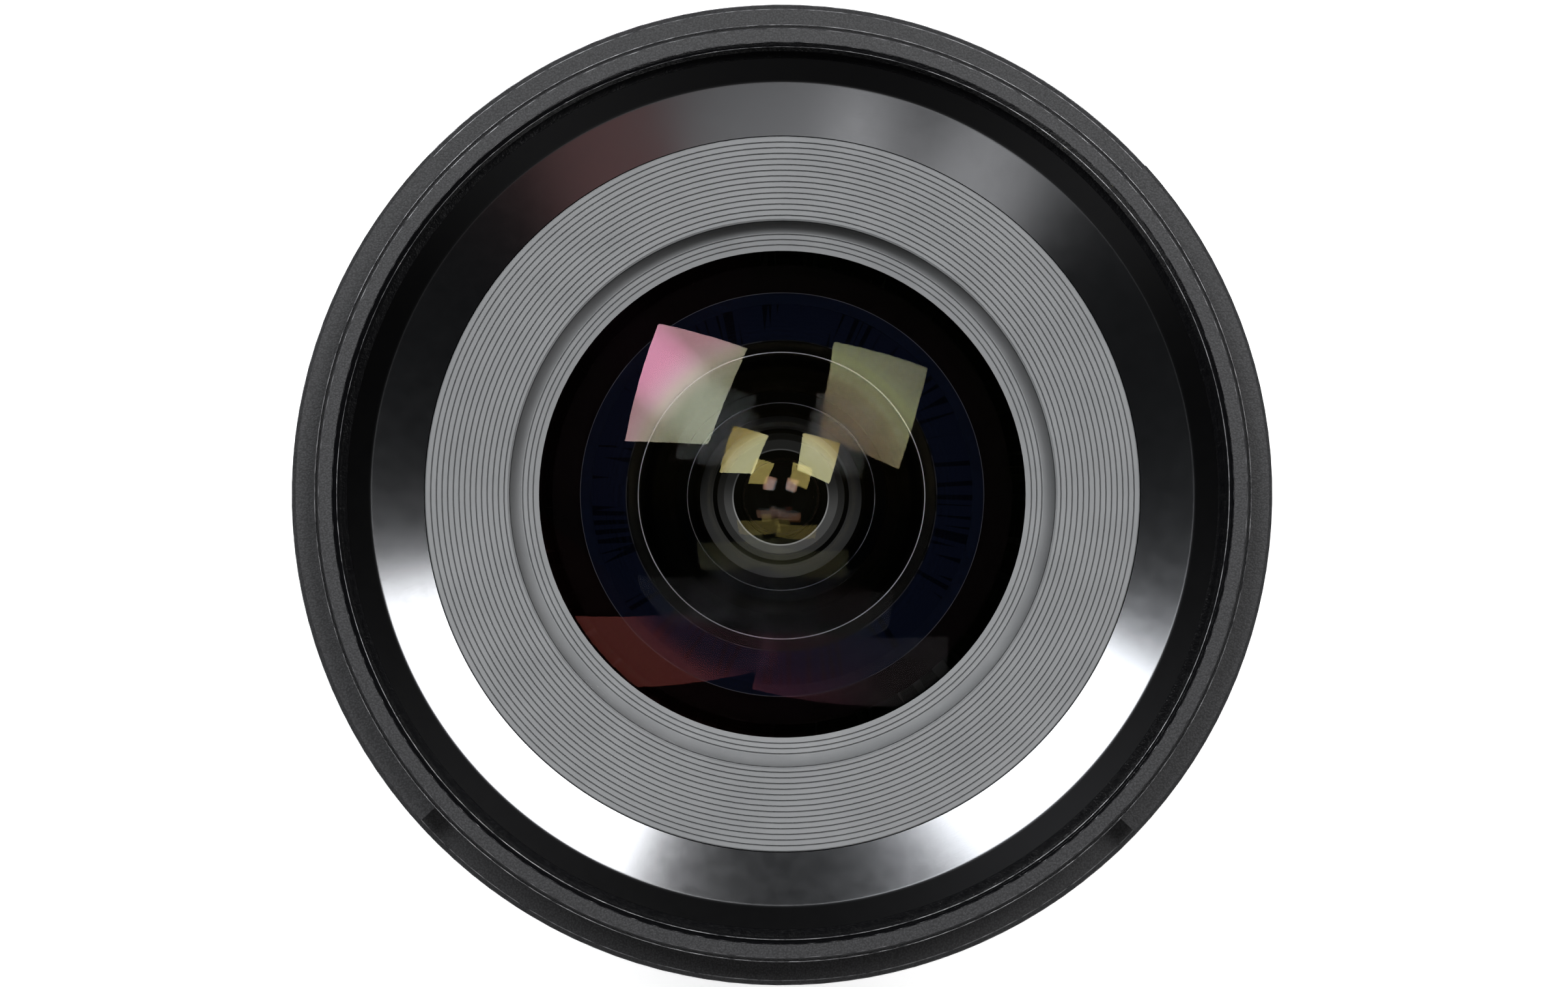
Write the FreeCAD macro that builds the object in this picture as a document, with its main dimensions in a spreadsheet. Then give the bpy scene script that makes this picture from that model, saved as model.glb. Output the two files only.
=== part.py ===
import FreeCAD, Part
import math
import os

import Sketcher

# Wide-angle zoom lens, 77 mm filter thread, three-lug camera bayonet.
# The optical axis is +Z and the front of the lens faces up. The origin is the middle of the
# camera flange, so every height is the distance from the flange. Angles start at +X, and +Y is
# the top of the lens as a camera holds it. The lens is set to its widest zoom, to infinity and
# to its full aperture.

# Driving sizes, in millimetres and degrees. A name that ends in _r is a radius, one that ends in
# _z is a height above the flange, and one that ends in _gap is a clearance.
SIZES = {
    # front rim with the filter thread and the hood bayonet
    "front_z": 81.0,
    "thread_major_r": 38.5,
    "thread_minor_r": 38.1,
    "thread_pitch": 0.75,
    "thread_deep": 3.6,
    "thread_turns": 6.0,
    "rim_r": 40.0,
    "rim_bevel": 0.4,
    "neck_r": 39.4,
    "lug_r": 42.2,
    "lug_below_rim": 3.5,
    "lug_thick": 1.8,
    "lug_span": 86.0,
    "lug_turn": -0.9,
    "hood_gap": 2.4,
    "barrel_r": 42.7,
    "shoulder_high": 3.1,
    "front_skirt_long": 15.1,
    "front_skirt_wall": 1.5,
    "front_flange_thick": 1.6,
    "collar_wall": 1.6,
    "collar_high": 6.0,
    "front_screw_z": 66.9,
    "front_screw_r": 0.7,
    "front_head_r": 1.3,
    "screw_access_r": 1.4,
    # glossy dish ring inside the rim
    "dish_inner_r": 31.04,
    "dish_outer_r": 35.6,
    "dish_slope": 16.0,
    "dish_z": 75.0,
    "dish_thick": 1.1,
    "dish_seat_r": 37.5,
    # ribbed baffle ring and the ribbed retaining ring round the front glass
    "baffle_outer_r": 30.95,
    "baffle_inner_r": 23.7,
    "baffle_outer_z": 75.2,
    "baffle_fall": 0.4,
    "baffle_thick": 1.7,
    "rib_count": 14,
    "rib_pitch": 0.486,
    "rib_deep": 0.2,
    "groove_wide": 0.13,
    "glass_edge_r": 21.2,
    "retainer_outer_r": 23.65,
    "cove_r": 1.8,
    "cone_outer_r": 22.72,
    "cone_rise": 0.35,
    "cone_grooves": 3,
    "cone_pitch": 0.45,
    # glass of the front group, front vertex heights and surface radii
    "glass_one_r": 22.4,
    "glass_one_z": 77.3,
    "glass_one_thick": 2.4,
    "glass_one_front": 50.0,
    "glass_one_back": 23.5,
    "glass_one_clear": 16.0,
    "glass_two_r": 17.2,
    "glass_two_z": 69.6,
    "glass_two_thick": 1.5,
    "glass_two_front": 60.0,
    "glass_two_back": 19.0,
    "glass_two_clear": 13.0,
    "glass_three_r": 13.8,
    "glass_three_z": 60.96,
    "glass_three_thick": 1.3,
    "glass_three_front": 90.0,
    "glass_three_back": 28.0,
    "glass_three_clear": 12.0,
    # front group tube
    "flare_r": 30.7,
    "flare_wall": 1.4,
    "flare_z": 67.0,
    "flare_floor": 1.5,
    "skirt_r": 26.35,
    "skirt_wall": 1.75,
    "skirt_z": 38.0,
    "shelf_thick": 1.8,
    "shelf_inner_r": 19.5,
    "front_roller_z": 42.0,
    "front_travel": 5.5,
    "cell_wall": 1.75,
    "cell_flange_thick": 1.3,
    "cell_flange_r": 24.2,
    # zoom mechanism
    "zoom_turn": 60.0,
    "roller_r": 1.5,
    "roller_out_r": 29.9,
    "roller_pin_r": 0.9,
    "run_gap": 0.05,
    "slot_gap": 0.06,
    "seat_gap": 0.02,
    "guide_wall": 1.8,
    "guide_top_z": 46.0,
    "guide_flange_r": 30.8,
    "guide_flange_thick": 1.4,
    "guide_screw_at_r": 29.5,
    "guide_screw_r": 0.7,
    "guide_head_r": 1.15,
    "guide_head_high": 0.7,
    "guide_tip_z": 6.6,
    "cam_wall": 1.7,
    "cam_z": 11.6,
    "cam_top_z": 45.5,
    "cam_spare": 4.5,
    "key_r": 1.4,
    "key_z": 31.3,
    # chassis tube
    "chassis_inner_r": 31.2,
    "chassis_wall": 1.6,
    "chassis_z": 7.5,
    "chassis_top_z": 71.0,
    "foot_inner_r": 24.6,
    "foot_thick": 1.5,
    "carrier_z": 41.5,
    "carrier_thick": 1.5,
    "carrier_r": 38.33,
    # zoom ring and its rubber
    "zoom_z": 14.4,
    "zoom_top_z": 41.0,
    "zoom_seat_r": 36.0,
    "zoom_edge_r": 36.9,
    "zoom_grip_r": 38.2,
    "zoom_grip_z": 17.0,
    "zoom_grip_top_z": 36.0,
    "zoom_pads": 48,
    "zoom_pad_gap": 1.6,
    "zoom_pad_deep": 0.9,
    "zoom_band": 1.6,
    "zoom_front_r": 38.7,
    "zoom_relief": 1.5,
    "zoom_land": 3.0,
    # scale barrel, window and switch
    "scale_z": 41.3,
    "scale_top_z": 55.9,
    "scale_low_r": 38.9,
    "scale_high_r": 41.2,
    "scale_inner_r": 38.35,
    "window_low_z": 46.0,
    "window_high_z": 52.6,
    "window_half": 14.5,
    "window_thick": 0.9,
    "drum_r": 38.0,
    "drum_wall": 0.9,
    "drum_z": 44.5,
    "switch_x": 39.0,
    "switch_z": 45.0,
    "switch_long": 3.4,
    "switch_half": 1.65,
    "switch_travel": 3.6,
    "switch_out": 41.7,
    "plate_half": 5.2,
    "plate_z": 43.8,
    "plate_high": 9.4,
    "plate_thick": 1.6,
    # focus ring, ring motor and drive fork
    "focus_turn": 90.0,
    "focus_z": 56.2,
    "focus_top_z": 69.8,
    "focus_seat_r": 40.4,
    "focus_lip_r": 41.6,
    "focus_grip_r": 42.0,
    "focus_grip_z": 58.4,
    "focus_grip_top_z": 68.4,
    "focus_pads": 56,
    "focus_pad_gap": 1.5,
    "focus_pad_deep": 0.7,
    "focus_band": 1.0,
    "focus_inner_r": 38.45,
    "focus_flange_z": 53.9,
    "focus_flange_thick": 1.7,
    "motor_inner_r": 33.3,
    "motor_outer_r": 36.3,
    "stator_high": 6.2,
    "stator_teeth": 36,
    "stator_notch": 0.6,
    "stator_notch_deep": 1.6,
    "fork_turn": 300.0,
    "fork_inner_r": 27.2,
    "fork_outer_r": 30.3,
    "fork_z": 51.3,
    "fork_top_z": 60.4,
    "fork_prong": 1.6,
    "fork_arm_z": 55.6,
    "fork_arm_high": 1.3,
    "tab_reach_r": 29.8,
    "tab_half": 1.5,
    "tab_z": 57.9,
    "tab_high": 2.2,
    # focus group
    "focus_travel": 2.4,
    "pin_r": 1.2,
    "pin_z": 52.9,
    "pin_spare": 6.0,
    "cam_ring_wall": 1.8,
    "cam_ring_z": 47.5,
    "cam_ring_top_z": 65.0,
    "stop_ring_high": 1.1,
    "focus_cell_high": 5.0,
    "focus_cell_wall": 1.3,
    "focus_rim_wall": 1.6,
    "glass_four_r": 10.5,
    "glass_four_z": 57.2,
    "glass_four_thick": 4.8,
    "glass_four_front": 30.0,
    "glass_four_back": 25.0,
    "glass_five_thick": 1.2,
    "glass_five_back": 60.0,
    # rear group
    "rear_travel": 9.0,
    "rear_roller_z": 17.0,
    "rear_skirt_z": 11.0,
    "rear_skirt_top_z": 21.0,
    "rear_web_thick": 1.4,
    "rear_cup_r": 24.2,
    "rear_cup_inner_r": 22.9,
    "rear_cup_top_z": 27.5,
    "rear_ledge_high": 1.0,
    "rear_cell_r": 14.6,
    "rear_cell_z": 7.2,
    "rear_cell_flange_r": 16.6,
    "rear_cell_flange_thick": 0.9,
    "glass_rear_r": 11.0,
    "glass_six_z": 31.0,
    "glass_six_r": 12.0,
    "glass_six_thick": 3.4,
    "glass_six_front": 28.0,
    "glass_six_back": 70.0,
    "glass_seven_z": 21.7,
    "glass_seven_thick": 4.7,
    "glass_seven_front": 24.0,
    "glass_seven_back": 60.0,
    "glass_eight_z": 10.4,
    "glass_eight_thick": 1.4,
    "glass_eight_front": 18.0,
    "glass_eight_back": 60.0,
    "glass_eight_clear": 9.5,
    # diaphragm
    "iris_r": 11.0,
    "iris_turn": 20.0,
    "iris_plate": 1.0,
    "blade_count": 6,
    "blade_inner_r": 11.4,
    "blade_wide": 3.5,
    "blade_span": 84.0,
    "blade_thick": 0.12,
    "blade_step": 0.2,
    "blade_gap": 0.1,
    "blade_swing": 34.0,
    "pivot_at_r": 15.6,
    "pivot_r": 0.5,
    "blade_hub_r": 1.1,
    "tail_long": 2.4,
    "drive_pin_r": 0.4,
    "slot_spare": 2.5,
    "drive_inner_r": 14.4,
    "drive_outer_r": 18.3,
    "drive_ring_thick": 0.9,
    "tooth_module": 0.3,
    "ring_teeth": 128,
    "pinion_teeth": 10,
    "sector_teeth": 16,
    "tooth_phase": 0.156,
    "stepper_at_r": 20.7,
    "stepper_r": 2.8,
    "stepper_long": 7.6,
    "shaft_r": 0.5,
    # rear barrel, board and camera mount
    "flange_r": 32.4,
    "flange_thick": 2.5,
    "spigot_r": 24.9,
    "bore_r": 22.6,
    "tail_deep": 5.0,
    "bayonet_r": 26.9,
    "bayonet_thick": 1.6,
    "bayonet_span": 46.0,
    "bayonet_turn": 20.0,
    "mount_screw_at_r": 29.2,
    "mount_screw_r": 1.0,
    "mount_head_r": 1.9,
    "mount_screw_long": 8.6,
    "screw_sunk": 0.05,
    "small_bevel": 0.3,
    "lock_pin_r": 1.4,
    "lock_pin_deep": 1.6,
    "boss_r": 2.4,
    "rear_low_r": 33.4,
    "rear_high_r": 35.8,
    "rear_top_z": 14.0,
    "rear_floor": 1.5,
    "rear_inner_r": 31.0,
    "board_thick": 0.8,
    "board_inner_r": 25.0,
    "board_turn": 90.0,
    "board_span": 300.0,
    "contact_r": 0.7,
    "contact_count": 9,
    "contact_span": 64.0,
    "contact_long": 1.8,
    "contact_proud": 0.3,
    "contact_face_z": 0.4,
    "contact_top_z": 0.8,
    "contact_block_wide": 3.2,
    "window_half_x": 13.5,
    "window_half_y": 10.0,
    "baffle_plate": 1.4,
}

document = FreeCAD.newDocument("WideAngleLens")
sheet = document.addObject("Spreadsheet::Sheet", "Sizes")
for row, (name, value) in enumerate(SIZES.items(), start=1):
    sheet.set(f"A{row}", name)
    sheet.set(f"B{row}", str(value))
    sheet.setAlias(f"B{row}", name)
document.recompute()


class Size:
    """A size that carries its value and the sheet expression that it comes from."""

    def __init__(self, value, text):
        self.value = value
        self.text = text

    def __add__(self, other):
        return Size(self.value + number(other), f"({self.text} + {formula(other)})")

    def __radd__(self, other):
        return Size(number(other) + self.value, f"({formula(other)} + {self.text})")

    def __sub__(self, other):
        return Size(self.value - number(other), f"({self.text} - {formula(other)})")

    def __rsub__(self, other):
        return Size(number(other) - self.value, f"({formula(other)} - {self.text})")

    def __mul__(self, other):
        return Size(self.value * number(other), f"({self.text} * {formula(other)})")

    def __rmul__(self, other):
        return Size(number(other) * self.value, f"({formula(other)} * {self.text})")

    def __truediv__(self, other):
        return Size(self.value / number(other), f"({self.text} / {formula(other)})")

    def __neg__(self):
        return Size(-self.value, f"(0 - {self.text})")


def number(size):
    return size.value if isinstance(size, Size) else float(size)


def formula(size):
    return size.text if isinstance(size, Size) else f"({size})"


def size(name):
    return Size(float(sheet.get(name)), f"Sizes.{name}")


def root(x):
    return Size(math.sqrt(number(x)), f"sqrt({formula(x)})")


def sine(angle):
    return Size(math.sin(math.radians(number(angle))), f"sin({formula(angle)})")


def cosine(angle):
    return Size(math.cos(math.radians(number(angle))), f"cos({formula(angle)})")


def tangent(angle):
    return Size(math.tan(math.radians(number(angle))), f"tan({formula(angle)})")


def sag(surface_r, at_r):
    """How far a round surface falls from its vertex at that distance from the axis."""
    return surface_r - root(surface_r * surface_r - at_r * at_r)


PIECES = []


class Piece:
    """One piece of the lens, a body whose label is the name of its file."""

    def __init__(self, name):
        self.name = name
        self.body = document.addObject("PartDesign::Body", name)
        self.body.Label = name
        self.parts = 0
        PIECES.append(self)

    def origin(self, role):
        return next(f for f in self.body.Origin.OriginFeatures if f.Role == role)

    def add(self, kind, word):
        self.parts += 1
        return self.body.newObject(kind, f"{self.name}_{word}_{self.parts}")

    def sketch(self, word, role="XZ_Plane", turn=0.0, lift=0.0, start=0.0):
        """A sketch on a plane of the body. On XZ_Plane it is turned about Z, and starts that far
        from the axis. On XY_Plane it is turned about Z and lifted."""
        sketch = self.add("Sketcher::SketchObject", word)
        sketch.AttachmentSupport = [(self.origin(role), "")]
        sketch.MapMode = "FlatFace"
        if role == "XZ_Plane":
            axis = FreeCAD.Vector(0, 1, 0)
            away = {"x": -start * sine(turn), "z": -start * cosine(turn)}
        else:
            axis = FreeCAD.Vector(0, 0, 1)
            away = {"z": lift}
        base = FreeCAD.Vector(number(away.get("x", 0.0)), 0, number(away["z"]))
        sketch.AttachmentOffset = FreeCAD.Placement(
            base, FreeCAD.Rotation(axis, number(turn))
        )
        for way, distance in away.items():
            if isinstance(distance, Size):
                sketch.setExpression(f"AttachmentOffset.Base.{way}", distance.text)
        return sketch

    def finish(self, feature):
        """Recomputes, and makes the feature the last of the body."""
        self.body.Tip = feature
        document.recompute()
        return feature

    def turned(self, points, centre=None, sweep=None, cut=False, word="turn"):
        """Turns an outline of (radius, height) points about the axis, by a full turn or by sweep
        degrees about the angle centre."""
        sketch = self.sketch(word + "_outline", turn=0.0 if centre is None else centre)
        outline(sketch, points)
        kind = "PartDesign::Groove" if cut else "PartDesign::Revolution"
        feature = self.add(kind, word)
        feature.Profile = sketch
        feature.ReferenceAxis = (sketch, ["V_Axis"])
        feature.Angle = 360.0 if sweep is None else number(sweep)
        if sweep is not None:
            feature.Midplane = True
            if isinstance(sweep, Size):
                feature.setExpression("Angle", sweep.text)
        return self.finish(feature)

    def lifted(self, sketch, height, cut=False, word="pad", reverse=False):
        """Pads a sketch upwards, or cuts it downwards or outwards, by height."""
        feature = self.add("PartDesign::Pocket" if cut else "PartDesign::Pad", word)
        feature.Profile = sketch
        feature.Length = number(height)
        feature.Reversed = reverse
        if isinstance(height, Size):
            feature.setExpression("Length", height.text)
        return self.finish(feature)

    def radial_hole(self, angle, radius, height, reach, word="hole"):
        """Drills a round hole from the axis outwards, at that angle."""
        sketch = self.sketch(word + "_outline", turn=angle - 90.0)
        circle(sketch, 0.0, height, radius)
        return self.lifted(sketch, reach, cut=True, word=word)

    def upright_holes(self, angle, at_r, radius, low, high, count, word="hole"):
        """Drills round holes along Z, evenly spaced about the axis."""
        sketch = self.sketch(word + "_outline", role="XY_Plane", lift=high)
        circle(sketch, at_r * cosine(angle), at_r * sine(angle), radius)
        hole = self.lifted(sketch, high - low, cut=True, word=word)
        return self.around(hole, count) if number(count) > 1 else hole

    def around(self, feature, count, angle=360.0):
        """Repeats a feature about the axis."""
        pattern = self.add("PartDesign::PolarPattern", "around")
        pattern.Originals = [feature]
        pattern.Axis = (self.origin("Z_Axis"), [""])
        pattern.Angle = number(angle)
        pattern.Occurrences = int(number(count))
        if isinstance(count, Size):
            pattern.setExpression("Occurrences", count.text)
        return self.finish(pattern)

    def helix_cut(self, points, turn, rise, turns, left=False, word="helix"):
        """Cuts an outline along a helix that starts at the angle turn and rises by rise."""
        sketch = self.sketch(word + "_outline", turn=turn)
        outline(sketch, points)
        helix = self.add("PartDesign::SubtractiveHelix", word)
        helix.Profile = sketch
        helix.ReferenceAxis = (sketch, ["V_Axis"])
        helix.Mode = "height-turns-angle"
        helix.Height = number(rise)
        helix.Turns = number(turns)
        helix.LeftHanded = left
        if isinstance(rise, Size):
            helix.setExpression("Height", rise.text)
        if isinstance(turns, Size):
            helix.setExpression("Turns", turns.text)
        return self.finish(helix)

    def bevel_edges(self, test, amount, kind="Chamfer"):
        """Chamfers or fillets the edges of the body that pass the test."""
        edges = [
            f"Edge{i}" for i, e in enumerate(self.body.Shape.Edges, start=1) if test(e)
        ]
        base = self.body.Tip
        feature = self.add(f"PartDesign::{kind}", kind.lower())
        feature.Base = (base, edges)
        bound = "Radius" if kind == "Fillet" else "Size"
        setattr(feature, bound, number(amount))
        if isinstance(amount, Size):
            feature.setExpression(bound, amount.text)
        return self.finish(feature)


def pin_point(sketch, index, end, x, y):
    """Holds one end of a sketch line at x, y."""
    for value, kind, axis in ((x, "DistanceX", -2), (y, "DistanceY", -1)):
        if number(value) == 0.0 and not isinstance(value, Size):
            sketch.addConstraint(Sketcher.Constraint("PointOnObject", index, end, axis))
            continue
        held = sketch.addConstraint(
            Sketcher.Constraint(kind, -1, 1, index, end, number(value))
        )
        if isinstance(value, Size):
            sketch.setExpression(f"Constraints[{held}]", value.text)


def arc_between(first, last, radius):
    """A round stretch from first to last. Its centre is on the left for a positive radius.
    Returns the arc and whether it runs backwards."""
    chord = last - first
    half = chord.Length / 2.0
    away = math.sqrt(max(radius * radius - half * half, 0.0))
    left = FreeCAD.Vector(-chord.y, chord.x, 0).normalize()
    centre = (first + last) / 2.0 + left * (away if radius > 0 else -away)
    begin, end = (first, last) if radius > 0 else (last, first)
    angles = [math.atan2(p.y - centre.y, p.x - centre.x) for p in (begin, end)]
    if angles[1] <= angles[0]:
        angles[1] += 2 * math.pi
    round_part = Part.Circle(centre, FreeCAD.Vector(0, 0, 1), abs(radius))
    return Part.ArcOfCircle(round_part, angles[0], angles[1]), radius < 0


def outline(sketch, points):
    """A closed outline through points (x, y), or (x, y, radius) where the stretch to the next
    point is an arc of that radius."""
    corners = [FreeCAD.Vector(number(p[0]), number(p[1]), 0) for p in points]
    count = len(points)
    ends = []
    for i, point in enumerate(points):
        first, last = corners[i], corners[(i + 1) % count]
        if len(point) == 3:
            arc, backwards = arc_between(first, last, number(point[2]))
            index = sketch.addGeometry(arc, False)
            ends.append((index, 2, 1) if backwards else (index, 1, 2))
        else:
            index = sketch.addGeometry(Part.LineSegment(first, last), False)
            ends.append((index, 1, 2))
    for i in range(count):
        index, start, _ = ends[i]
        before, _, stop = ends[i - 1]
        sketch.addConstraint(Sketcher.Constraint("Coincident", before, stop, index, start))
    for i, point in enumerate(points):
        index, start, _ = ends[i]
        pin_point(sketch, index, start, point[0], point[1])
        if len(point) == 3:
            radius = point[2] if number(point[2]) > 0 else -point[2]
            held = sketch.addConstraint(
                Sketcher.Constraint("Radius", index, number(radius))
            )
            if isinstance(radius, Size):
                sketch.setExpression(f"Constraints[{held}]", radius.text)


def circle(sketch, x, y, radius):
    """A circle about x, y."""
    middle = FreeCAD.Vector(number(x), number(y), 0)
    index = sketch.addGeometry(
        Part.Circle(middle, FreeCAD.Vector(0, 0, 1), number(radius)), False
    )
    pin_point(sketch, index, 3, x, y)
    held = sketch.addConstraint(Sketcher.Constraint("Radius", index, number(radius)))
    if isinstance(radius, Size):
        sketch.setExpression(f"Constraints[{held}]", radius.text)


def obround(sketch, half, low, high):
    """A slot with round ends about the vertical axis, between the end centres low and high."""
    turns = ((low, math.pi, 2 * math.pi), (high, 0.0, math.pi))
    for height, begin, end in turns:
        middle = FreeCAD.Vector(0, number(height), 0)
        round_part = Part.Circle(middle, FreeCAD.Vector(0, 0, 1), number(half))
        arc = sketch.addGeometry(Part.ArcOfCircle(round_part, begin, end), False)
        pin_point(sketch, arc, 3, 0.0, height)
        held = sketch.addConstraint(Sketcher.Constraint("Radius", arc, number(half)))
        sketch.setExpression(f"Constraints[{held}]", formula(half))
        for tip in (1, 2):
            sketch.addConstraint(Sketcher.Constraint("Horizontal", arc, tip, arc, 3))
    right, left = number(half), -number(half)
    for x, joined in ((right, ((0, 2), (1, 1))), (left, ((1, 2), (0, 1)))):
        ends = [FreeCAD.Vector(x, number(z), 0) for z in (low, high)]
        if x < 0:
            ends.reverse()
        line = sketch.addGeometry(Part.LineSegment(*ends), False)
        for tip, (arc, arc_end) in zip((1, 2), joined):
            sketch.addConstraint(Sketcher.Constraint("Coincident", line, tip, arc, arc_end))


def rectangle(sketch, low_x, high_x, low_y, high_y):
    outline(sketch, [(low_x, low_y), (high_x, low_y), (high_x, high_y), (low_x, high_y)])


def ring(name, inner, outer, low, high):
    """A plain ring with square edges."""
    piece = Piece(name)
    piece.turned([(inner, low), (outer, low), (outer, high), (inner, high)])
    return piece


def rubber_grip(name, seat, outer, low, high, which):
    """A rubber sleeve with a plain band at each end and raised pads between them."""
    sleeve = ring(name, seat, outer, low, high)
    band, half = S[which + "_band"], S[which + "_pad_gap"] * 0.5
    between = sleeve.sketch("between_pads", role="XY_Plane", lift=high - band)
    rectangle(between, outer - S[which + "_pad_deep"], outer + 0.5, -half, half)
    groove = sleeve.lifted(between, high - low - band * 2.0, cut=True, word="groove")
    sleeve.around(groove, S[which + "_pads"])


def spun(piece, at, profile, turn, lying=False, cut=False, word="screw"):
    """Turns a profile of (off the axis, along the axis) points about an axis of its own, which
    stands at radius at, or lies at height at, in the radial plane at the angle turn."""
    sketch = piece.sketch(word + "_outline", turn=turn)
    points = [(along, at + off) if lying else (at + off, along) for off, along in profile]
    first, last = points[-1], points[0]
    ends = [FreeCAD.Vector(number(x), number(y), 0) for x, y in (first, last)]
    axis = sketch.addGeometry(Part.LineSegment(*ends), True)
    pin_point(sketch, axis, 1, *first)
    pin_point(sketch, axis, 2, *last)
    outline(sketch, points)
    feature = piece.add("PartDesign::Groove" if cut else "PartDesign::Revolution", word)
    feature.Profile = sketch
    feature.ReferenceAxis = (sketch, ["Axis0"])
    feature.Angle = 360.0
    return piece.finish(feature)


def lens(name, rim_r, front_z, thick, front, back, clear=None, hollow_front=False,
         round_back=False):
    """A lens element. front and back are the radii of its surfaces, and clear is the radius at
    which a hollow surface ends in a flat ring."""
    piece = Piece(name)
    back_z = front_z - thick
    if hollow_front:
        edge = front_z + sag(front, clear)
        points = [(0.0, front_z, front), (clear, edge), (rim_r, edge)]
    else:
        points = [(0.0, front_z, -front), (rim_r, front_z - sag(front, rim_r))]
    if round_back:
        points += [(rim_r, back_z + sag(back, rim_r), -back), (0.0, back_z)]
    elif clear is None:
        points += [(rim_r, back_z - sag(back, rim_r), back), (0.0, back_z)]
    else:
        low = back_z - sag(back, clear)
        points += [(rim_r, low), (clear, low, back), (0.0, back_z)]
    piece.turned(points)
    return piece


S = {name: size(name) for name in SIZES}
FRONT_ROLLER_TURN = 0.0
REAR_ROLLER_TURN = 60.0
KEY_TURN = 90.0
MOUNT_SCREW_TURN = 45.0
GUIDE_SCREW_TURN = 30.0
FRONT_SCREW_TURN = 20.0
SWITCH_TURN = 180.0
WINDOW_TURN = 90.0
CONTACT_TURN = 270.0
FIT = S["seat_gap"]


def camera_mount():
    """Bayonet ring, its screws, the contacts and the rear light baffle."""
    bore, spigot, tail = S["bore_r"], S["spigot_r"], S["tail_deep"]
    flange, thick, edge = S["flange_r"], S["flange_thick"], S["small_bevel"]
    mount = Piece("mount_ring")
    mount.turned([
        (bore, -tail), (spigot - edge, -tail), (spigot, edge - tail), (spigot, 0.0),
        (flange - edge, 0.0), (flange, edge), (flange, thick), (bore, thick),
    ])
    lug_top = S["bayonet_thick"] - tail
    root_r = spigot - edge * 2
    lug = mount.turned(
        [(root_r, edge - tail), (S["bayonet_r"], edge - tail), (S["bayonet_r"], lug_top),
         (root_r, lug_top)],
        centre=S["bayonet_turn"], sweep=S["bayonet_span"], word="lug",
    )
    mount.around(lug, 3)
    at_r, screw_r, head_r = S["mount_screw_at_r"], S["mount_screw_r"], S["mount_head_r"]
    head_high, low = head_r - screw_r, S["screw_sunk"]
    sunk = [(0.0, 0.0), (head_r + FIT + low, 0.0), (screw_r + FIT, head_high + low),
            (screw_r + FIT, thick), (0.0, thick)]
    mount.around(spun(mount, at_r, sunk, MOUNT_SCREW_TURN, cut=True, word="sink"), 4)
    mount.upright_holes(CONTACT_TURN - 75.0, at_r, S["lock_pin_r"], -0.5, S["lock_pin_deep"], 1)

    screws = Piece("mount_screws")
    tip = S["mount_screw_long"]
    profile = [(0.0, low), (head_r, low), (screw_r, low + head_high), (screw_r, tip), (0.0, tip)]
    screws.around(spun(screws, at_r, profile, MOUNT_SCREW_TURN), 4)

    low, high, span = S["contact_face_z"] - tail, S["contact_top_z"], S["contact_span"]
    block = Piece("contact_block")
    block.turned(
        [(bore - S["contact_block_wide"], low), (bore - FIT, low), (bore - FIT, high),
         (bore - S["contact_block_wide"], high)],
        centre=CONTACT_TURN, sweep=span + 14.0,
    )
    at_r = bore - S["contact_block_wide"] / 2.0
    first = CONTACT_TURN - span / 2.0
    reach = S["contact_long"]
    for piece, radius, deep, cut in (
        (block, S["contact_r"] + FIT, reach, True),
        (Piece("contact_pins"), S["contact_r"], reach + S["contact_proud"], False),
    ):
        start = low + reach if cut else low - S["contact_proud"]
        sketch = piece.sketch("contact", role="XY_Plane", lift=start)
        circle(sketch, at_r * cosine(first), at_r * sine(first), radius)
        contact = piece.lifted(sketch, deep, cut=cut)
        piece.around(contact, S["contact_count"], angle=span)

    plate = S["baffle_plate"]
    baffle = ring("rear_baffle", S["iris_r"], bore - FIT, high + 0.2, high + 0.2 + plate)
    sketch = baffle.sketch("window", role="XY_Plane", lift=high + 0.2 + plate)
    rectangle(sketch, -S["window_half_x"], S["window_half_x"], -S["window_half_y"],
              S["window_half_y"])
    baffle.lifted(sketch, plate, cut=True)


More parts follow.
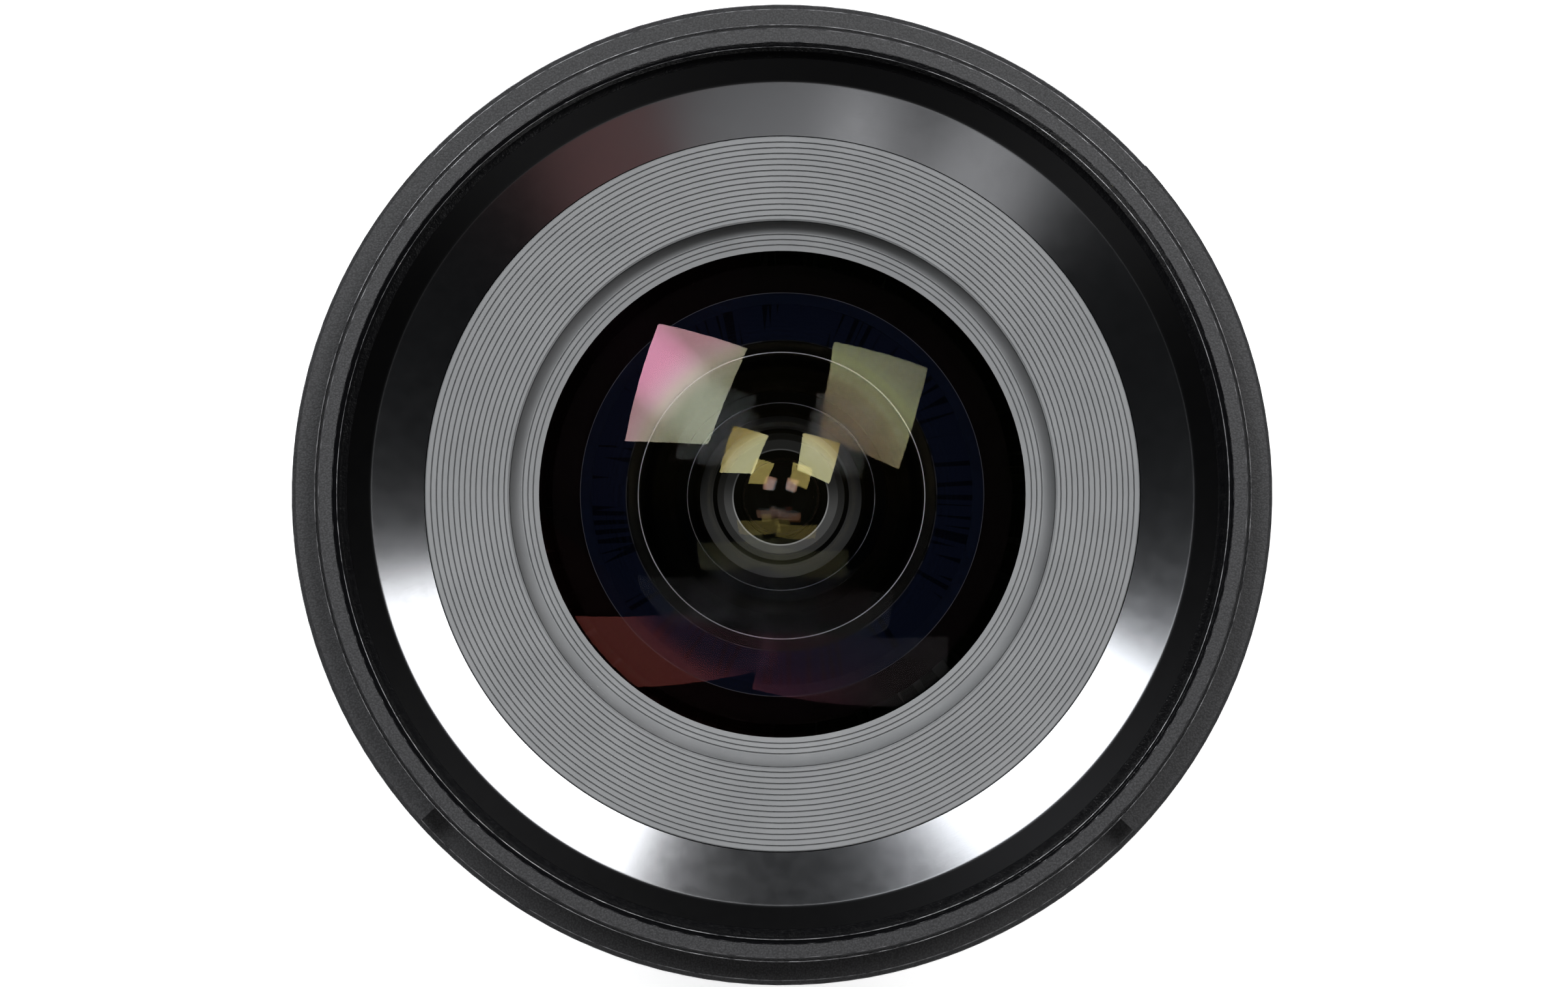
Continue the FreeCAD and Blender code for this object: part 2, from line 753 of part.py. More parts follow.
def rear_barrel():
    """The rear housing with its screw posts, and the circuit board with its chips."""
    frame_r = S["chassis_inner_r"] + S["chassis_wall"]
    low, top = S["flange_thick"], S["rear_top_z"]
    floor_top = S["chassis_z"]
    floor = floor_top - S["rear_floor"]
    inner, seat_r = S["rear_inner_r"], frame_r + FIT
    barrel = Piece("rear_barrel")
    barrel.turned([
        (inner, low), (S["rear_low_r"], low), (S["rear_high_r"], top - 1.6),
        (S["rear_high_r"] - 0.3, top), (seat_r, top), (seat_r, floor_top),
        (S["foot_inner_r"], floor_top), (S["foot_inner_r"], floor), (inner, floor),
    ])
    at_r, post = S["mount_screw_at_r"], S["boss_r"]
    sketch = barrel.sketch("post", role="XY_Plane", turn=MOUNT_SCREW_TURN, lift=low)
    circle(sketch, at_r, 0.0, post)
    barrel.around(barrel.lifted(sketch, floor - low + 0.2, word="post"), 4)
    barrel.upright_holes(MOUNT_SCREW_TURN, at_r, S["mount_screw_r"] + FIT, low, floor_top, 4)
    barrel.upright_holes(GUIDE_SCREW_TURN, S["guide_screw_at_r"], S["guide_screw_r"] + FIT,
                         floor, floor_top, 3)

    top = floor
    low = top - S["board_thick"]
    board = Piece("circuit_board")
    board.turned([(S["board_inner_r"], low), (inner - 0.2, low), (inner - 0.2, top),
                  (S["board_inner_r"], top)], centre=S["board_turn"], sweep=S["board_span"])
    board.upright_holes(MOUNT_SCREW_TURN, at_r, post + 0.3, low, top, 4)
    board.upright_holes(GUIDE_SCREW_TURN, S["guide_screw_at_r"], S["guide_screw_r"] + 0.3,
                        low, top, 3)
    chips = Piece("board_chips")
    middle = (S["board_inner_r"] + inner) / 2.0
    for turn, along, across, high in CHIPS:
        sketch = chips.sketch("chip", role="XY_Plane", turn=turn, lift=low - high)
        rectangle(sketch, middle - along / 2.0, middle + along / 2.0, -across / 2.0,
                  across / 2.0)
        chips.lifted(sketch, high, word="chip")


# angle, radial length, width and height of each chip under the board
CHIPS = (
    (90.0, 5.0, 5.6, 1.1), (67.0, 3.0, 3.4, 0.9), (110.0, 2.4, 4.2, 0.9), (10.0, 3.6, 3.6, 1.0),
    (170.0, 4.6, 3.0, 1.2), (195.0, 2.0, 3.0, 0.8), (345.0, 2.0, 3.4, 0.8),
)


def fixed_tubes():
    """The frame tube that carries everything, and the guide barrel inside it."""
    inner, low, top = S["chassis_inner_r"], S["chassis_z"], S["chassis_top_z"]
    outer = inner + S["chassis_wall"]
    foot_top = low + S["foot_thick"]
    shelf, shelf_top = S["carrier_z"], S["carrier_z"] + S["carrier_thick"]
    frame = Piece("barrel_frame")
    frame.turned([
        (S["foot_inner_r"], low), (outer, low), (outer, shelf), (S["carrier_r"], shelf),
        (S["carrier_r"], shelf_top), (outer, shelf_top), (outer, top), (inner, top),
        (inner, foot_top), (S["foot_inner_r"], foot_top),
    ])
    frame.upright_holes(MOUNT_SCREW_TURN, S["mount_screw_at_r"], S["mount_screw_r"] + FIT, low,
                        foot_top, 4)
    frame.upright_holes(GUIDE_SCREW_TURN, S["guide_screw_at_r"], S["guide_screw_r"] + FIT, low,
                        foot_top, 3)
    # slot of the zoom key, whose ends are the stops of the zoom ring
    half = S["key_r"] + 0.3
    frame.turned([(inner - 1.0, S["key_z"] - half), (outer + 1.0, S["key_z"] - half),
                  (outer + 1.0, S["key_z"] + half), (inner - 1.0, S["key_z"] + half)],
                 centre=KEY_TURN + S["zoom_turn"] / 2.0, sweep=S["zoom_turn"] + 8.0, cut=True)
    # window for the arm of the driving fork
    arm, arm_top = S["fork_arm_z"] - 0.3, S["fork_arm_z"] + S["fork_arm_high"] + 0.3
    frame.turned([(inner - 1.0, arm), (outer + 1.0, arm), (outer + 1.0, arm_top),
                  (inner - 1.0, arm_top)], centre=S["fork_turn"] + S["focus_turn"] / 2.0,
                 sweep=S["focus_turn"] + 18.0, cut=True)
    frame.around(frame.radial_hole(FRONT_SCREW_TURN, S["front_screw_r"] + FIT,
                                   S["front_screw_z"], outer + 1.0), 3)

    inner = S["skirt_r"] + S["run_gap"]
    outer = inner + S["guide_wall"]
    low = foot_top
    flange_top = low + S["guide_flange_thick"]
    guide = Piece("guide_barrel")
    guide.turned([
        (inner, low), (S["guide_flange_r"], low), (S["guide_flange_r"], flange_top),
        (outer, flange_top), (outer, S["guide_top_z"]), (inner, S["guide_top_z"]),
    ])
    wide = S["roller_r"] + S["slot_gap"]
    for turn, z, travel in ((FRONT_ROLLER_TURN, S["front_roller_z"] - S["front_travel"],
                             S["front_travel"]),
                            (REAR_ROLLER_TURN, S["rear_roller_z"], S["rear_travel"])):
        slot = guide.sketch("slot", turn=turn - 90.0)
        obround(slot, wide, z - 0.3, z + travel + 0.3)
        guide.around(guide.lifted(slot, outer + 1.0, cut=True, word="slot"), 3)
    at_r, screw_r, head_r = S["guide_screw_at_r"], S["guide_screw_r"], S["guide_head_r"]
    guide.upright_holes(GUIDE_SCREW_TURN, at_r, screw_r + FIT, low, flange_top, 3)
    screws = Piece("guide_screws")
    head_top, tip = flange_top + S["guide_head_high"], S["guide_tip_z"]
    profile = [(0.0, head_top), (head_r, head_top), (head_r, flange_top), (screw_r, flange_top),
               (screw_r, tip), (0.0, tip)]
    screws.around(spun(screws, at_r, profile, GUIDE_SCREW_TURN), 3)


def zoom_drive():
    """Zoom ring with its rubber, the cam barrel and the key between them."""
    bearing = S["chassis_inner_r"] + S["chassis_wall"] + S["run_gap"]
    relief = bearing + S["zoom_relief"]
    low, top, seat = S["zoom_z"], S["zoom_top_z"], S["zoom_seat_r"]
    grip_low, grip_top = S["zoom_grip_z"], S["zoom_grip_top_z"]
    edge, front = S["zoom_edge_r"], S["zoom_front_r"]
    land = S["zoom_land"]
    zoom = Piece("zoom_ring")
    zoom.turned([
        (bearing, low), (edge - 0.5, low), (edge, low + 0.6), (edge, grip_low), (seat, grip_low),
        (seat, grip_top), (front - 0.3, grip_top), (front, grip_top + 0.6), (front, top),
        (bearing, top), (bearing, top - land), (relief, top - land), (relief, low + land),
        (bearing, low + land),
    ])
    zoom.radial_hole(KEY_TURN, S["key_r"] + FIT, S["key_z"], seat + 1.0)
    rubber_grip("zoom_grip", seat + FIT, S["zoom_grip_r"], grip_low + FIT, grip_top - FIT, "zoom")

    inner = S["skirt_r"] + S["run_gap"] + S["guide_wall"] + S["run_gap"]
    outer = inner + S["cam_wall"]
    cam = Piece("cam_barrel")
    cam.turned([(inner, S["cam_z"]), (outer, S["cam_z"]), (outer, S["cam_top_z"]),
                (inner, S["cam_top_z"])])
    cam.radial_hole(KEY_TURN, S["key_r"] + FIT, S["key_z"], outer + 1.0)
    turn, spare = S["zoom_turn"], S["cam_spare"]
    for angle, z, travel, left in (
        (FRONT_ROLLER_TURN - turn - spare, S["front_roller_z"] - S["front_travel"],
         S["front_travel"], False),
        (REAR_ROLLER_TURN + spare, S["rear_roller_z"], S["rear_travel"], True),
    ):
        slope = travel / (inner * turn * math.pi / 180.0)
        half = (S["roller_r"] + S["slot_gap"]) * root(1.0 + slope * slope)
        start = z - travel * spare / turn
        rise = travel * (turn + spare * 2.0) / turn
        points = [(inner - 1.0, start - half), (outer + 1.0, start - half),
                  (outer + 1.0, start + half), (inner - 1.0, start + half)]
        slot = cam.helix_cut(points, angle, rise, (turn + spare * 2.0) / 360.0, left=left)
        cam.around(slot, 3)

    key = Piece("zoom_key")
    key_r = S["key_r"]
    spun(key, S["key_z"], [(0.0, inner + 0.1), (key_r, inner + 0.1), (key_r, seat - 0.2),
                           (0.0, seat - 0.2)], KEY_TURN, lying=True, word="key")


def rollers(name, angle, z):
    """Three rollers on pins, pressed in from inside the sliding tube."""
    tube, wall = S["skirt_r"], S["skirt_wall"]
    pin = S["roller_pin_r"]
    piece = Piece(name)
    profile = [(0.0, tube - wall + 0.05), (pin, tube - wall + 0.05), (pin, tube + FIT),
               (S["roller_r"], tube + FIT), (S["roller_r"], S["roller_out_r"]),
               (0.0, S["roller_out_r"])]
    piece.around(spun(piece, z, profile, angle, lying=True, word="roller"), 3)


def front_group():
    """Front tube with rollers, front glass, baffle rings and the inner lens cell."""
    outer, inner = S["skirt_r"], S["skirt_r"] - S["skirt_wall"]
    flare, low = S["flare_r"], S["flare_z"]
    wall = S["flare_wall"]
    top = S["baffle_outer_z"] - S["baffle_thick"]
    floor = low + S["flare_floor"]
    glass_r, glass_z = S["glass_one_r"], S["glass_one_z"]
    seat_z = glass_z - S["glass_one_thick"] - sag(S["glass_one_back"], S["glass_one_clear"])
    glass_edge_z = glass_z - sag(S["glass_one_front"], S["glass_edge_r"])
    ring_r = S["retainer_outer_r"] + FIT
    cell_r = ring_r + S["cell_wall"]
    shelf_z = seat_z - S["shelf_thick"]
    tube = Piece("front_tube")
    tube.turned([
        (inner, S["skirt_z"]), (outer, S["skirt_z"]), (outer, low), (flare, low), (flare, top),
        (flare - wall, top), (flare - wall, floor), (cell_r, floor), (cell_r, top),
        (ring_r, top), (ring_r, glass_edge_z - 0.6), (glass_r + FIT, glass_edge_z - 0.6),
        (glass_r + FIT, seat_z), (S["shelf_inner_r"], seat_z), (S["shelf_inner_r"], shelf_z),
        (inner, shelf_z),
    ])
    tube.around(tube.radial_hole(FRONT_ROLLER_TURN, S["roller_pin_r"] + FIT,
                                 S["front_roller_z"], outer + 1.0), 3)
    wide = S["pin_r"] + S["slot_gap"]
    slot = tube.sketch("slot", turn=REAR_ROLLER_TURN - 90.0)
    obround(slot, wide, S["pin_z"] - S["focus_travel"] - 0.3, S["pin_z"] + 0.3)
    tube.around(tube.lifted(slot, outer + 1.0, cut=True, word="slot"), 3)
    tab, tab_top = S["tab_z"] - 0.4, S["tab_z"] + S["tab_high"] + 0.4
    tube.turned([(inner - 1.0, tab), (outer + 1.0, tab), (outer + 1.0, tab_top),
                 (inner - 1.0, tab_top)], centre=S["fork_turn"] + S["focus_turn"] / 2.0,
                sweep=S["focus_turn"] + 11.0, cut=True)
    rollers("front_rollers", FRONT_ROLLER_TURN, S["front_roller_z"])

    glass = lens("lens_one", glass_r, glass_z, S["glass_one_thick"], S["glass_one_front"],
                 S["glass_one_back"], clear=S["glass_one_clear"])
    lens("lens_two", S["glass_two_r"], S["glass_two_z"], S["glass_two_thick"],
         S["glass_two_front"], S["glass_two_back"], clear=S["glass_two_clear"])
    lens("lens_three", S["glass_three_r"], S["glass_three_z"], S["glass_three_thick"],
         S["glass_three_front"], S["glass_three_back"], clear=S["glass_three_clear"],
         hollow_front=True)
    two_seat = (S["glass_two_z"] - S["glass_two_thick"]
                - sag(S["glass_two_back"], S["glass_two_clear"]))
    three_seat = (S["glass_three_z"] - S["glass_three_thick"]
                  - sag(S["glass_three_back"], S["glass_three_clear"]))
    three_top = S["glass_three_z"] + sag(S["glass_three_front"], S["glass_three_clear"])
    bore_two, bore_three = S["glass_two_r"] + FIT, S["glass_three_r"] + FIT
    wide, narrow = bore_two + S["cell_wall"], bore_three + S["cell_wall"]
    flange_low = shelf_z - S["cell_flange_thick"]
    cell = Piece("front_cell")
    cell.turned([
        (S["glass_three_clear"] + 0.2, three_seat - 0.9), (narrow, three_seat - 0.9),
        (narrow, two_seat - 1.5), (wide, two_seat - 1.5), (wide, flange_low),
        (S["cell_flange_r"], flange_low), (S["cell_flange_r"], shelf_z), (wide, shelf_z),
        (wide, seat_z - 0.2), (bore_two, seat_z - 0.2), (bore_two, two_seat),
        (bore_three, two_seat), (bore_three, three_seat),
        (S["glass_three_clear"] + 0.2, three_seat),
    ])
    stop = S["cam_ring_z"] - 0.1
    ring("focus_stop_ring", inner - S["cam_ring_wall"], inner - FIT,
         stop - S["stop_ring_high"], stop)
    baffle_rings(top, glass_edge_z)


def grooves(first, last, lead, pitch, count):
    """Corner points of a face that runs inwards from first to last (radius, height), with V
    grooves in it. The first groove starts the length lead inside the edge."""
    points = [first]
    fall = (first[1] - last[1]) / (first[0] - last[0])
    wide, deep = S["groove_wide"], S["rib_deep"]
    for i in range(count):
        off = lead + pitch * i
        r, z = first[0] - off, first[1] - fall * off
        points += [(r, z), (r - wide * 0.5, z - deep), (r - wide, z - fall * wide)]
    points.append(last)
    return points


def baffle_rings(seat_z, glass_edge_z):
    """The flat ribbed ring of the front group and the ribbed cone that holds the front glass."""
    outer, inner = S["baffle_outer_r"], S["baffle_inner_r"]
    face = S["baffle_outer_z"]
    baffle = Piece("baffle_ring")
    inner_face, pitch = face - S["baffle_fall"], S["rib_pitch"]
    crest = grooves((outer - 0.08, face), (inner + 0.15, inner_face), pitch * 0.72, pitch,
                    SIZES["rib_count"])
    baffle.turned([(inner, seat_z), (outer, seat_z), (outer, face - 0.08)] + crest
                  + [(inner, inner_face - 0.15)])

    low, edge = glass_edge_z + FIT, S["glass_edge_r"]
    lip, outer, pitch = low + 0.25, S["retainer_outer_r"], S["cone_pitch"]
    retainer = Piece("retaining_ring")
    cone = grooves((S["cone_outer_r"], lip + S["cone_rise"]), (edge, lip), pitch * 0.13, pitch,
                   SIZES["cone_grooves"])
    retainer.turned([(edge, low), (outer, low), (outer, inner_face - 0.2, -S["cove_r"])] + cone)


def focus_drive():
    """Focus ring with its rubber, distance scale, ring motor and driving fork."""
    low, top = S["focus_z"], S["focus_top_z"]
    seat, inner = S["focus_seat_r"], S["focus_inner_r"]
    lip = S["focus_lip_r"]
    grip_low, grip_top = S["focus_grip_z"], S["focus_grip_top_z"]
    web, web_top = S["focus_flange_z"], S["focus_flange_z"] + S["focus_flange_thick"]
    neck = S["scale_inner_r"] - 0.2
    focus = Piece("focus_ring")
    focus.turned([
        (S["motor_inner_r"], web), (neck, web), (neck, low), (lip - 0.3, low),
        (lip, low + 0.4), (lip, grip_low), (seat, grip_low), (seat, grip_top), (lip, grip_top),
        (lip, top - 0.4), (lip - 0.3, top), (inner, top), (inner, web_top + 1.6),
        (S["motor_outer_r"] + 0.4, web_top + 1.6), (S["motor_outer_r"] + 0.4, web_top),
        (S["motor_inner_r"], web_top),
    ])
    focus.around(focus.radial_hole(FRONT_SCREW_TURN, S["screw_access_r"], S["front_screw_z"],
                                   lip + 1.0), 3)
    rubber_grip("focus_grip", seat + FIT, S["focus_grip_r"], grip_low + FIT, grip_top - FIT,
                "focus")

    drum = Piece("distance_scale")
    outer, drum_low = S["drum_r"], S["drum_z"]
    drum.turned([(outer - S["drum_wall"], drum_low), (outer, drum_low), (outer, web),
                 (outer - S["drum_wall"], web)],
                centre=WINDOW_TURN - S["focus_turn"] / 2.0, sweep=S["focus_turn"] + 40.0)

    motor_in, motor_out = S["motor_inner_r"], S["motor_outer_r"]
    base = S["carrier_z"] + S["carrier_thick"]
    face = base + S["stator_high"]
    stator = Piece("motor_stator")
    stator.turned([(motor_in, base), (motor_out, base), (motor_out, face), (motor_in, face)])
    notch = S["stator_notch"]
    cut = stator.sketch("notch", turn=-90.0)
    rectangle(cut, -notch / 2.0, notch / 2.0, face - S["stator_notch_deep"], face)
    stator.around(stator.lifted(cut, motor_out + 1.0, cut=True, word="notch"),
                  S["stator_teeth"])
    face = face + S["run_gap"]
    rotor = Piece("motor_rotor")
    rotor.turned([(motor_in + 0.6, face), (motor_out - 0.6, face), (motor_out - 0.6, face + 1.0),
                  (motor_out, face + 1.0), (motor_out, web), (motor_in, web),
                  (motor_in, face + 1.0), (motor_in + 0.6, face + 1.0)])

    fork = Piece("focus_fork")
    angle, prong = S["fork_turn"], S["fork_prong"]
    slot = S["tab_half"] + S["run_gap"]
    for inner, outer, low, high in (
        (S["fork_inner_r"], S["fork_outer_r"], S["fork_z"], S["fork_top_z"] - S["fork_z"]),
        (S["fork_outer_r"] - 0.4, motor_out, S["fork_arm_z"], S["fork_arm_high"]),
    ):
        sketch = fork.sketch("block", role="XY_Plane", turn=angle, lift=low)
        rectangle(sketch, inner, outer, -slot - prong, slot + prong)
        fork.lifted(sketch, high, word="block")
    cut = fork.sketch("gap", role="XY_Plane", turn=angle, lift=S["fork_top_z"])
    rectangle(cut, S["fork_inner_r"] - 1.0, S["fork_outer_r"] + 0.1, -slot, slot)
    fork.lifted(cut, S["fork_top_z"] - S["fork_z"], cut=True, word="gap")


def focus_group():
    """Focus cam ring, and the cell with the cemented pair that it moves."""
    outer = S["skirt_r"] - S["skirt_wall"] - S["run_gap"]
    inner = outer - S["cam_ring_wall"]
    cam = Piece("focus_cam_ring")
    cam.turned([(inner, S["cam_ring_z"]), (outer, S["cam_ring_z"]),
                (outer, S["cam_ring_top_z"]), (inner, S["cam_ring_top_z"])])
    tab = cam.sketch("tab", role="XY_Plane", turn=S["fork_turn"], lift=S["tab_z"])
    rectangle(tab, inner + 0.4, S["tab_reach_r"], -S["tab_half"], S["tab_half"])
    cam.lifted(tab, S["tab_high"], word="tab")
    turn, spare, travel = S["focus_turn"], S["pin_spare"], S["focus_travel"]
    slope = travel / (inner * turn * math.pi / 180.0)
    half = (S["pin_r"] + S["slot_gap"]) * root(1.0 + slope * slope)
    start = S["pin_z"] - travel - travel * spare / turn
    points = [(inner - 1.0, start - half), (outer + 0.5, start - half),
              (outer + 0.5, start + half), (inner - 1.0, start + half)]
    slot = cam.helix_cut(points, REAR_ROLLER_TURN - turn - spare,
                         travel * (turn + spare * 2.0) / turn, (turn + spare * 2.0) / 360.0)
    cam.around(slot, 3)

    rim, z = inner - S["run_gap"], S["pin_z"]
    half_high = S["focus_cell_high"] / 2.0
    glass_r, front_z = S["glass_four_r"], S["glass_four_z"]
    joint_z = front_z - S["glass_four_thick"]
    back_z = joint_z - S["glass_five_thick"]
    seat = back_z - sag(S["glass_five_back"], glass_r)
    bore, hole = glass_r + FIT, glass_r - 0.9
    tube = bore + S["focus_cell_wall"]
    top = front_z - sag(S["glass_four_front"], glass_r) + 0.6
    cell = Piece("focus_cell")
    cell.turned([
        (hole, seat - 0.8), (tube, seat - 0.8), (tube, z - half_high),
        (rim, z - half_high), (rim, z + half_high), (rim - S["focus_rim_wall"], z + half_high),
        (rim - S["focus_rim_wall"], z - half_high + 1.1), (tube, z - half_high + 1.1),
        (tube, top), (bore, top), (bore, seat), (hole, seat),
    ])
    cell.around(cell.radial_hole(REAR_ROLLER_TURN, S["pin_r"] + FIT, z, rim + 1.0), 3)
    pins = Piece("focus_pins")
    length = [rim - S["focus_rim_wall"] - 0.6, S["skirt_r"] - 0.15]
    profile = [(0.0, length[0]), (S["pin_r"], length[0]), (S["pin_r"], length[1]),
               (0.0, length[1])]
    pins.around(spun(pins, z, profile, REAR_ROLLER_TURN, lying=True, word="pin"), 3)
    lens("lens_four", glass_r, front_z, S["glass_four_thick"], S["glass_four_front"],
         S["glass_four_back"], round_back=True)
    pair = Piece("lens_five")
    edge = joint_z + sag(S["glass_four_back"], glass_r)
    pair.turned([(0.0, joint_z, S["glass_four_back"]), (glass_r, edge),
                 (glass_r, seat, S["glass_five_back"]), (0.0, back_z)])


def rear_group():
    """Rear tube with rollers, the rear cell and its glass."""
    outer, inner = S["skirt_r"], S["skirt_r"] - S["skirt_wall"]
    low, top = S["rear_skirt_z"], S["rear_skirt_top_z"]
    web = top - S["rear_web_thick"]
    cup, cup_inner = S["rear_cup_r"], S["rear_cup_inner_r"]
    ledge = top + S["rear_ledge_high"]
    cell_r = S["rear_cell_r"] + FIT
    tube = Piece("rear_tube")
    tube.turned([
        (inner, low), (outer, low), (outer, top), (cup, top), (cup, S["rear_cup_top_z"]),
        (cup_inner, S["rear_cup_top_z"]), (cup_inner, ledge), (cup_inner - 1.4, ledge),
        (cup_inner - 1.4, top), (cell_r, top), (cell_r, web), (inner, web),
    ])
    tube.around(tube.radial_hole(REAR_ROLLER_TURN, S["roller_pin_r"] + FIT,
                                 S["rear_roller_z"], outer + 1.0), 3)
    tube.upright_holes(CONTACT_TURN, S["stepper_at_r"], S["stepper_r"] + 0.1, web, ledge, 1)
    rollers("rear_rollers", REAR_ROLLER_TURN, S["rear_roller_z"])

    glass_r = S["glass_rear_r"]
    bore = glass_r + FIT
    eight_front = S["glass_eight_z"] + sag(S["glass_eight_front"], S["glass_eight_clear"])
    land = glass_r - 1.2
    seven_back = (S["glass_seven_z"] - S["glass_seven_thick"]
                  + sag(S["glass_seven_back"], land) - FIT)
    flange, flange_top = S["rear_cell_flange_r"], top + S["rear_cell_flange_thick"]
    cell = Piece("rear_cell")
    cell.turned([
        (bore, S["rear_cell_z"]), (S["rear_cell_r"], S["rear_cell_z"]), (S["rear_cell_r"], top),
        (flange, top), (flange, flange_top), (bore, flange_top), (bore, seven_back),
        (land, seven_back), (land, eight_front), (bore, eight_front),
    ])
    lens("lens_seven", glass_r, S["glass_seven_z"], S["glass_seven_thick"],
         S["glass_seven_front"], S["glass_seven_back"], round_back=True)
    lens("lens_eight", glass_r, S["glass_eight_z"], S["glass_eight_thick"],
         S["glass_eight_front"], S["glass_eight_back"], clear=S["glass_eight_clear"],
         hollow_front=True, round_back=True)
    ring_inner = glass_r - 1.4
    ring_top = (S["glass_eight_z"] - S["glass_eight_thick"]
                + sag(S["glass_eight_back"], ring_inner) - FIT)
    ring("rear_retaining_ring", ring_inner, glass_r, ring_top - 1.0, ring_top)
    diaphragm(ledge)


def diaphragm(base_z):
    """Base plate, blades, drive ring, pinion, motor and the cover with the glass before it."""
    rim, iris = S["rear_cup_inner_r"] - FIT, S["iris_r"] + 0.2
    pivot, hub = S["pivot_at_r"], S["pivot_r"]
    plate_top = base_z + S["iris_plate"]
    blades = int(SIZES["blade_count"])
    base = ring("diaphragm_base", iris, rim, base_z, plate_top)
    base.upright_holes(0.0, pivot, hub + FIT, base_z, plate_top, S["blade_count"])
    base.upright_holes(CONTACT_TURN, S["stepper_at_r"], S["shaft_r"] + 0.1, base_z, plate_top, 1)

    ring_low = (plate_top + S["blade_gap"] * 2.0 + S["blade_step"] * (blades - 1)
                + S["blade_thick"])
    ring_top = ring_low + S["drive_ring_thick"]
    tail, thick = S["tail_long"], S["blade_thick"]
    for k in range(blades):
        turn = 360.0 / blades * k
        low = plate_top + S["blade_gap"] + S["blade_step"] * k
        blade = Piece(f"iris_blade_{k + 1}")
        band = S["blade_inner_r"]
        blade.turned([(band, low), (band + S["blade_wide"], low),
                      (band + S["blade_wide"], low + thick), (band, low + thick)],
                     centre=S["blade_span"] / 2.0 + turn - 4.0, sweep=S["blade_span"])
        for x, y, radius, start, height in (
            (pivot, 0.0, S["blade_hub_r"], low, thick),
            (pivot, -tail, S["drive_pin_r"] * 2.0, low, thick),
            (pivot, 0.0, hub, base_z + 0.1, low - base_z - 0.1 + thick / 2.0),
            (pivot, -tail, S["drive_pin_r"], low + thick / 2.0,
             ring_top - 0.1 - low - thick / 2.0),
        ):
            sketch = blade.sketch("round", role="XY_Plane", turn=turn, lift=start)
            circle(sketch, x, y, radius)
            blade.lifted(sketch, height, word="round")
        sketch = blade.sketch("tail", role="XY_Plane", turn=turn, lift=low)
        half = S["drive_pin_r"] * 1.8
        rectangle(sketch, pivot - half, pivot + half, -tail, 0.0)
        blade.lifted(sketch, thick, word="tail")

    drive = Piece("aperture_ring")
    module = S["tooth_module"]
    pitch_r = module * S["ring_teeth"] / 2.0
    root_r = pitch_r - module * 1.25
    drive.turned([(S["drive_inner_r"], ring_low), (S["drive_outer_r"], ring_low),
                  (S["drive_outer_r"], ring_top), (S["drive_inner_r"], ring_top)])
    mesh = CONTACT_TURN - S["iris_turn"] / 2.0
    sector = drive.turned(
        [(S["drive_outer_r"] - 0.4, ring_low), (root_r, ring_low), (root_r, ring_top),
         (S["drive_outer_r"] - 0.4, ring_top)],
        centre=mesh, sweep=S["sector_teeth"] * 360.0 / S["ring_teeth"], word="sector",
    )
    tooth = drive.sketch("tooth", role="XY_Plane", lift=ring_low,
                         turn=mesh - (S["sector_teeth"] - 1) * 180.0 / S["ring_teeth"]
                         + S["tooth_phase"])
    tip = module * 0.8
    outline(tooth, [(root_r - 0.3, -module * 1.0), (root_r + 0.02, -module * 1.0),
                    (pitch_r, -module * 0.66), (pitch_r + tip, -module * 0.36),
                    (pitch_r + tip, module * 0.36), (pitch_r, module * 0.66),
                    (root_r + 0.02, module * 1.0), (root_r - 0.3, module * 1.0)])
    drive.around(drive.lifted(tooth, S["drive_ring_thick"], word="tooth"), S["sector_teeth"],
                 angle=(S["sector_teeth"] - 1) * 360.0 / S["ring_teeth"])
    slot = drive.sketch("slot", role="XY_Plane", lift=ring_top)
    outline(slot, drive_slot(pivot, tail))
    drive.around(drive.lifted(slot, S["drive_ring_thick"], cut=True, word="slot"),
                 S["blade_count"])

    pinion = Piece("aperture_pinion")
    at_r = S["stepper_at_r"]
    # The pinion turns about its own axis, so it is drawn round the origin and then placed.
    wheel_r = module * S["pinion_teeth"] / 2.0
    root_r = wheel_r - module * 1.25
    shaft, shaft_low = S["shaft_r"], base_z - 2.0
    pinion.turned([(0.0, shaft_low), (shaft, shaft_low), (shaft, ring_low), (root_r, ring_low),
                   (root_r, ring_top), (shaft, ring_top), (shaft, ring_top + 0.2),
                   (0.0, ring_top + 0.2)])
    tooth = pinion.sketch("tooth", role="XY_Plane", lift=ring_low)
    outline(tooth, [(root_r - 0.2, -module * 0.62), (root_r, -module * 0.62),
                    (wheel_r, -module * 0.6), (wheel_r + tip, -module * 0.3),
                    (wheel_r + tip, module * 0.3), (wheel_r, module * 0.6),
                    (root_r, module * 0.62), (root_r - 0.2, module * 0.62)])
    pinion.around(pinion.lifted(tooth, S["drive_ring_thick"], word="tooth"), S["pinion_teeth"])
    place(pinion, at_r)

    motor = Piece("aperture_motor")
    can, bore = S["stepper_r"], shaft + S["run_gap"]
    motor.turned([(0.0, base_z - S["stepper_long"]), (can, base_z - S["stepper_long"]),
                  (can, base_z), (bore, base_z), (bore, shaft_low - 0.1),
                  (0.0, shaft_low - 0.1)])
    place(motor, at_r)

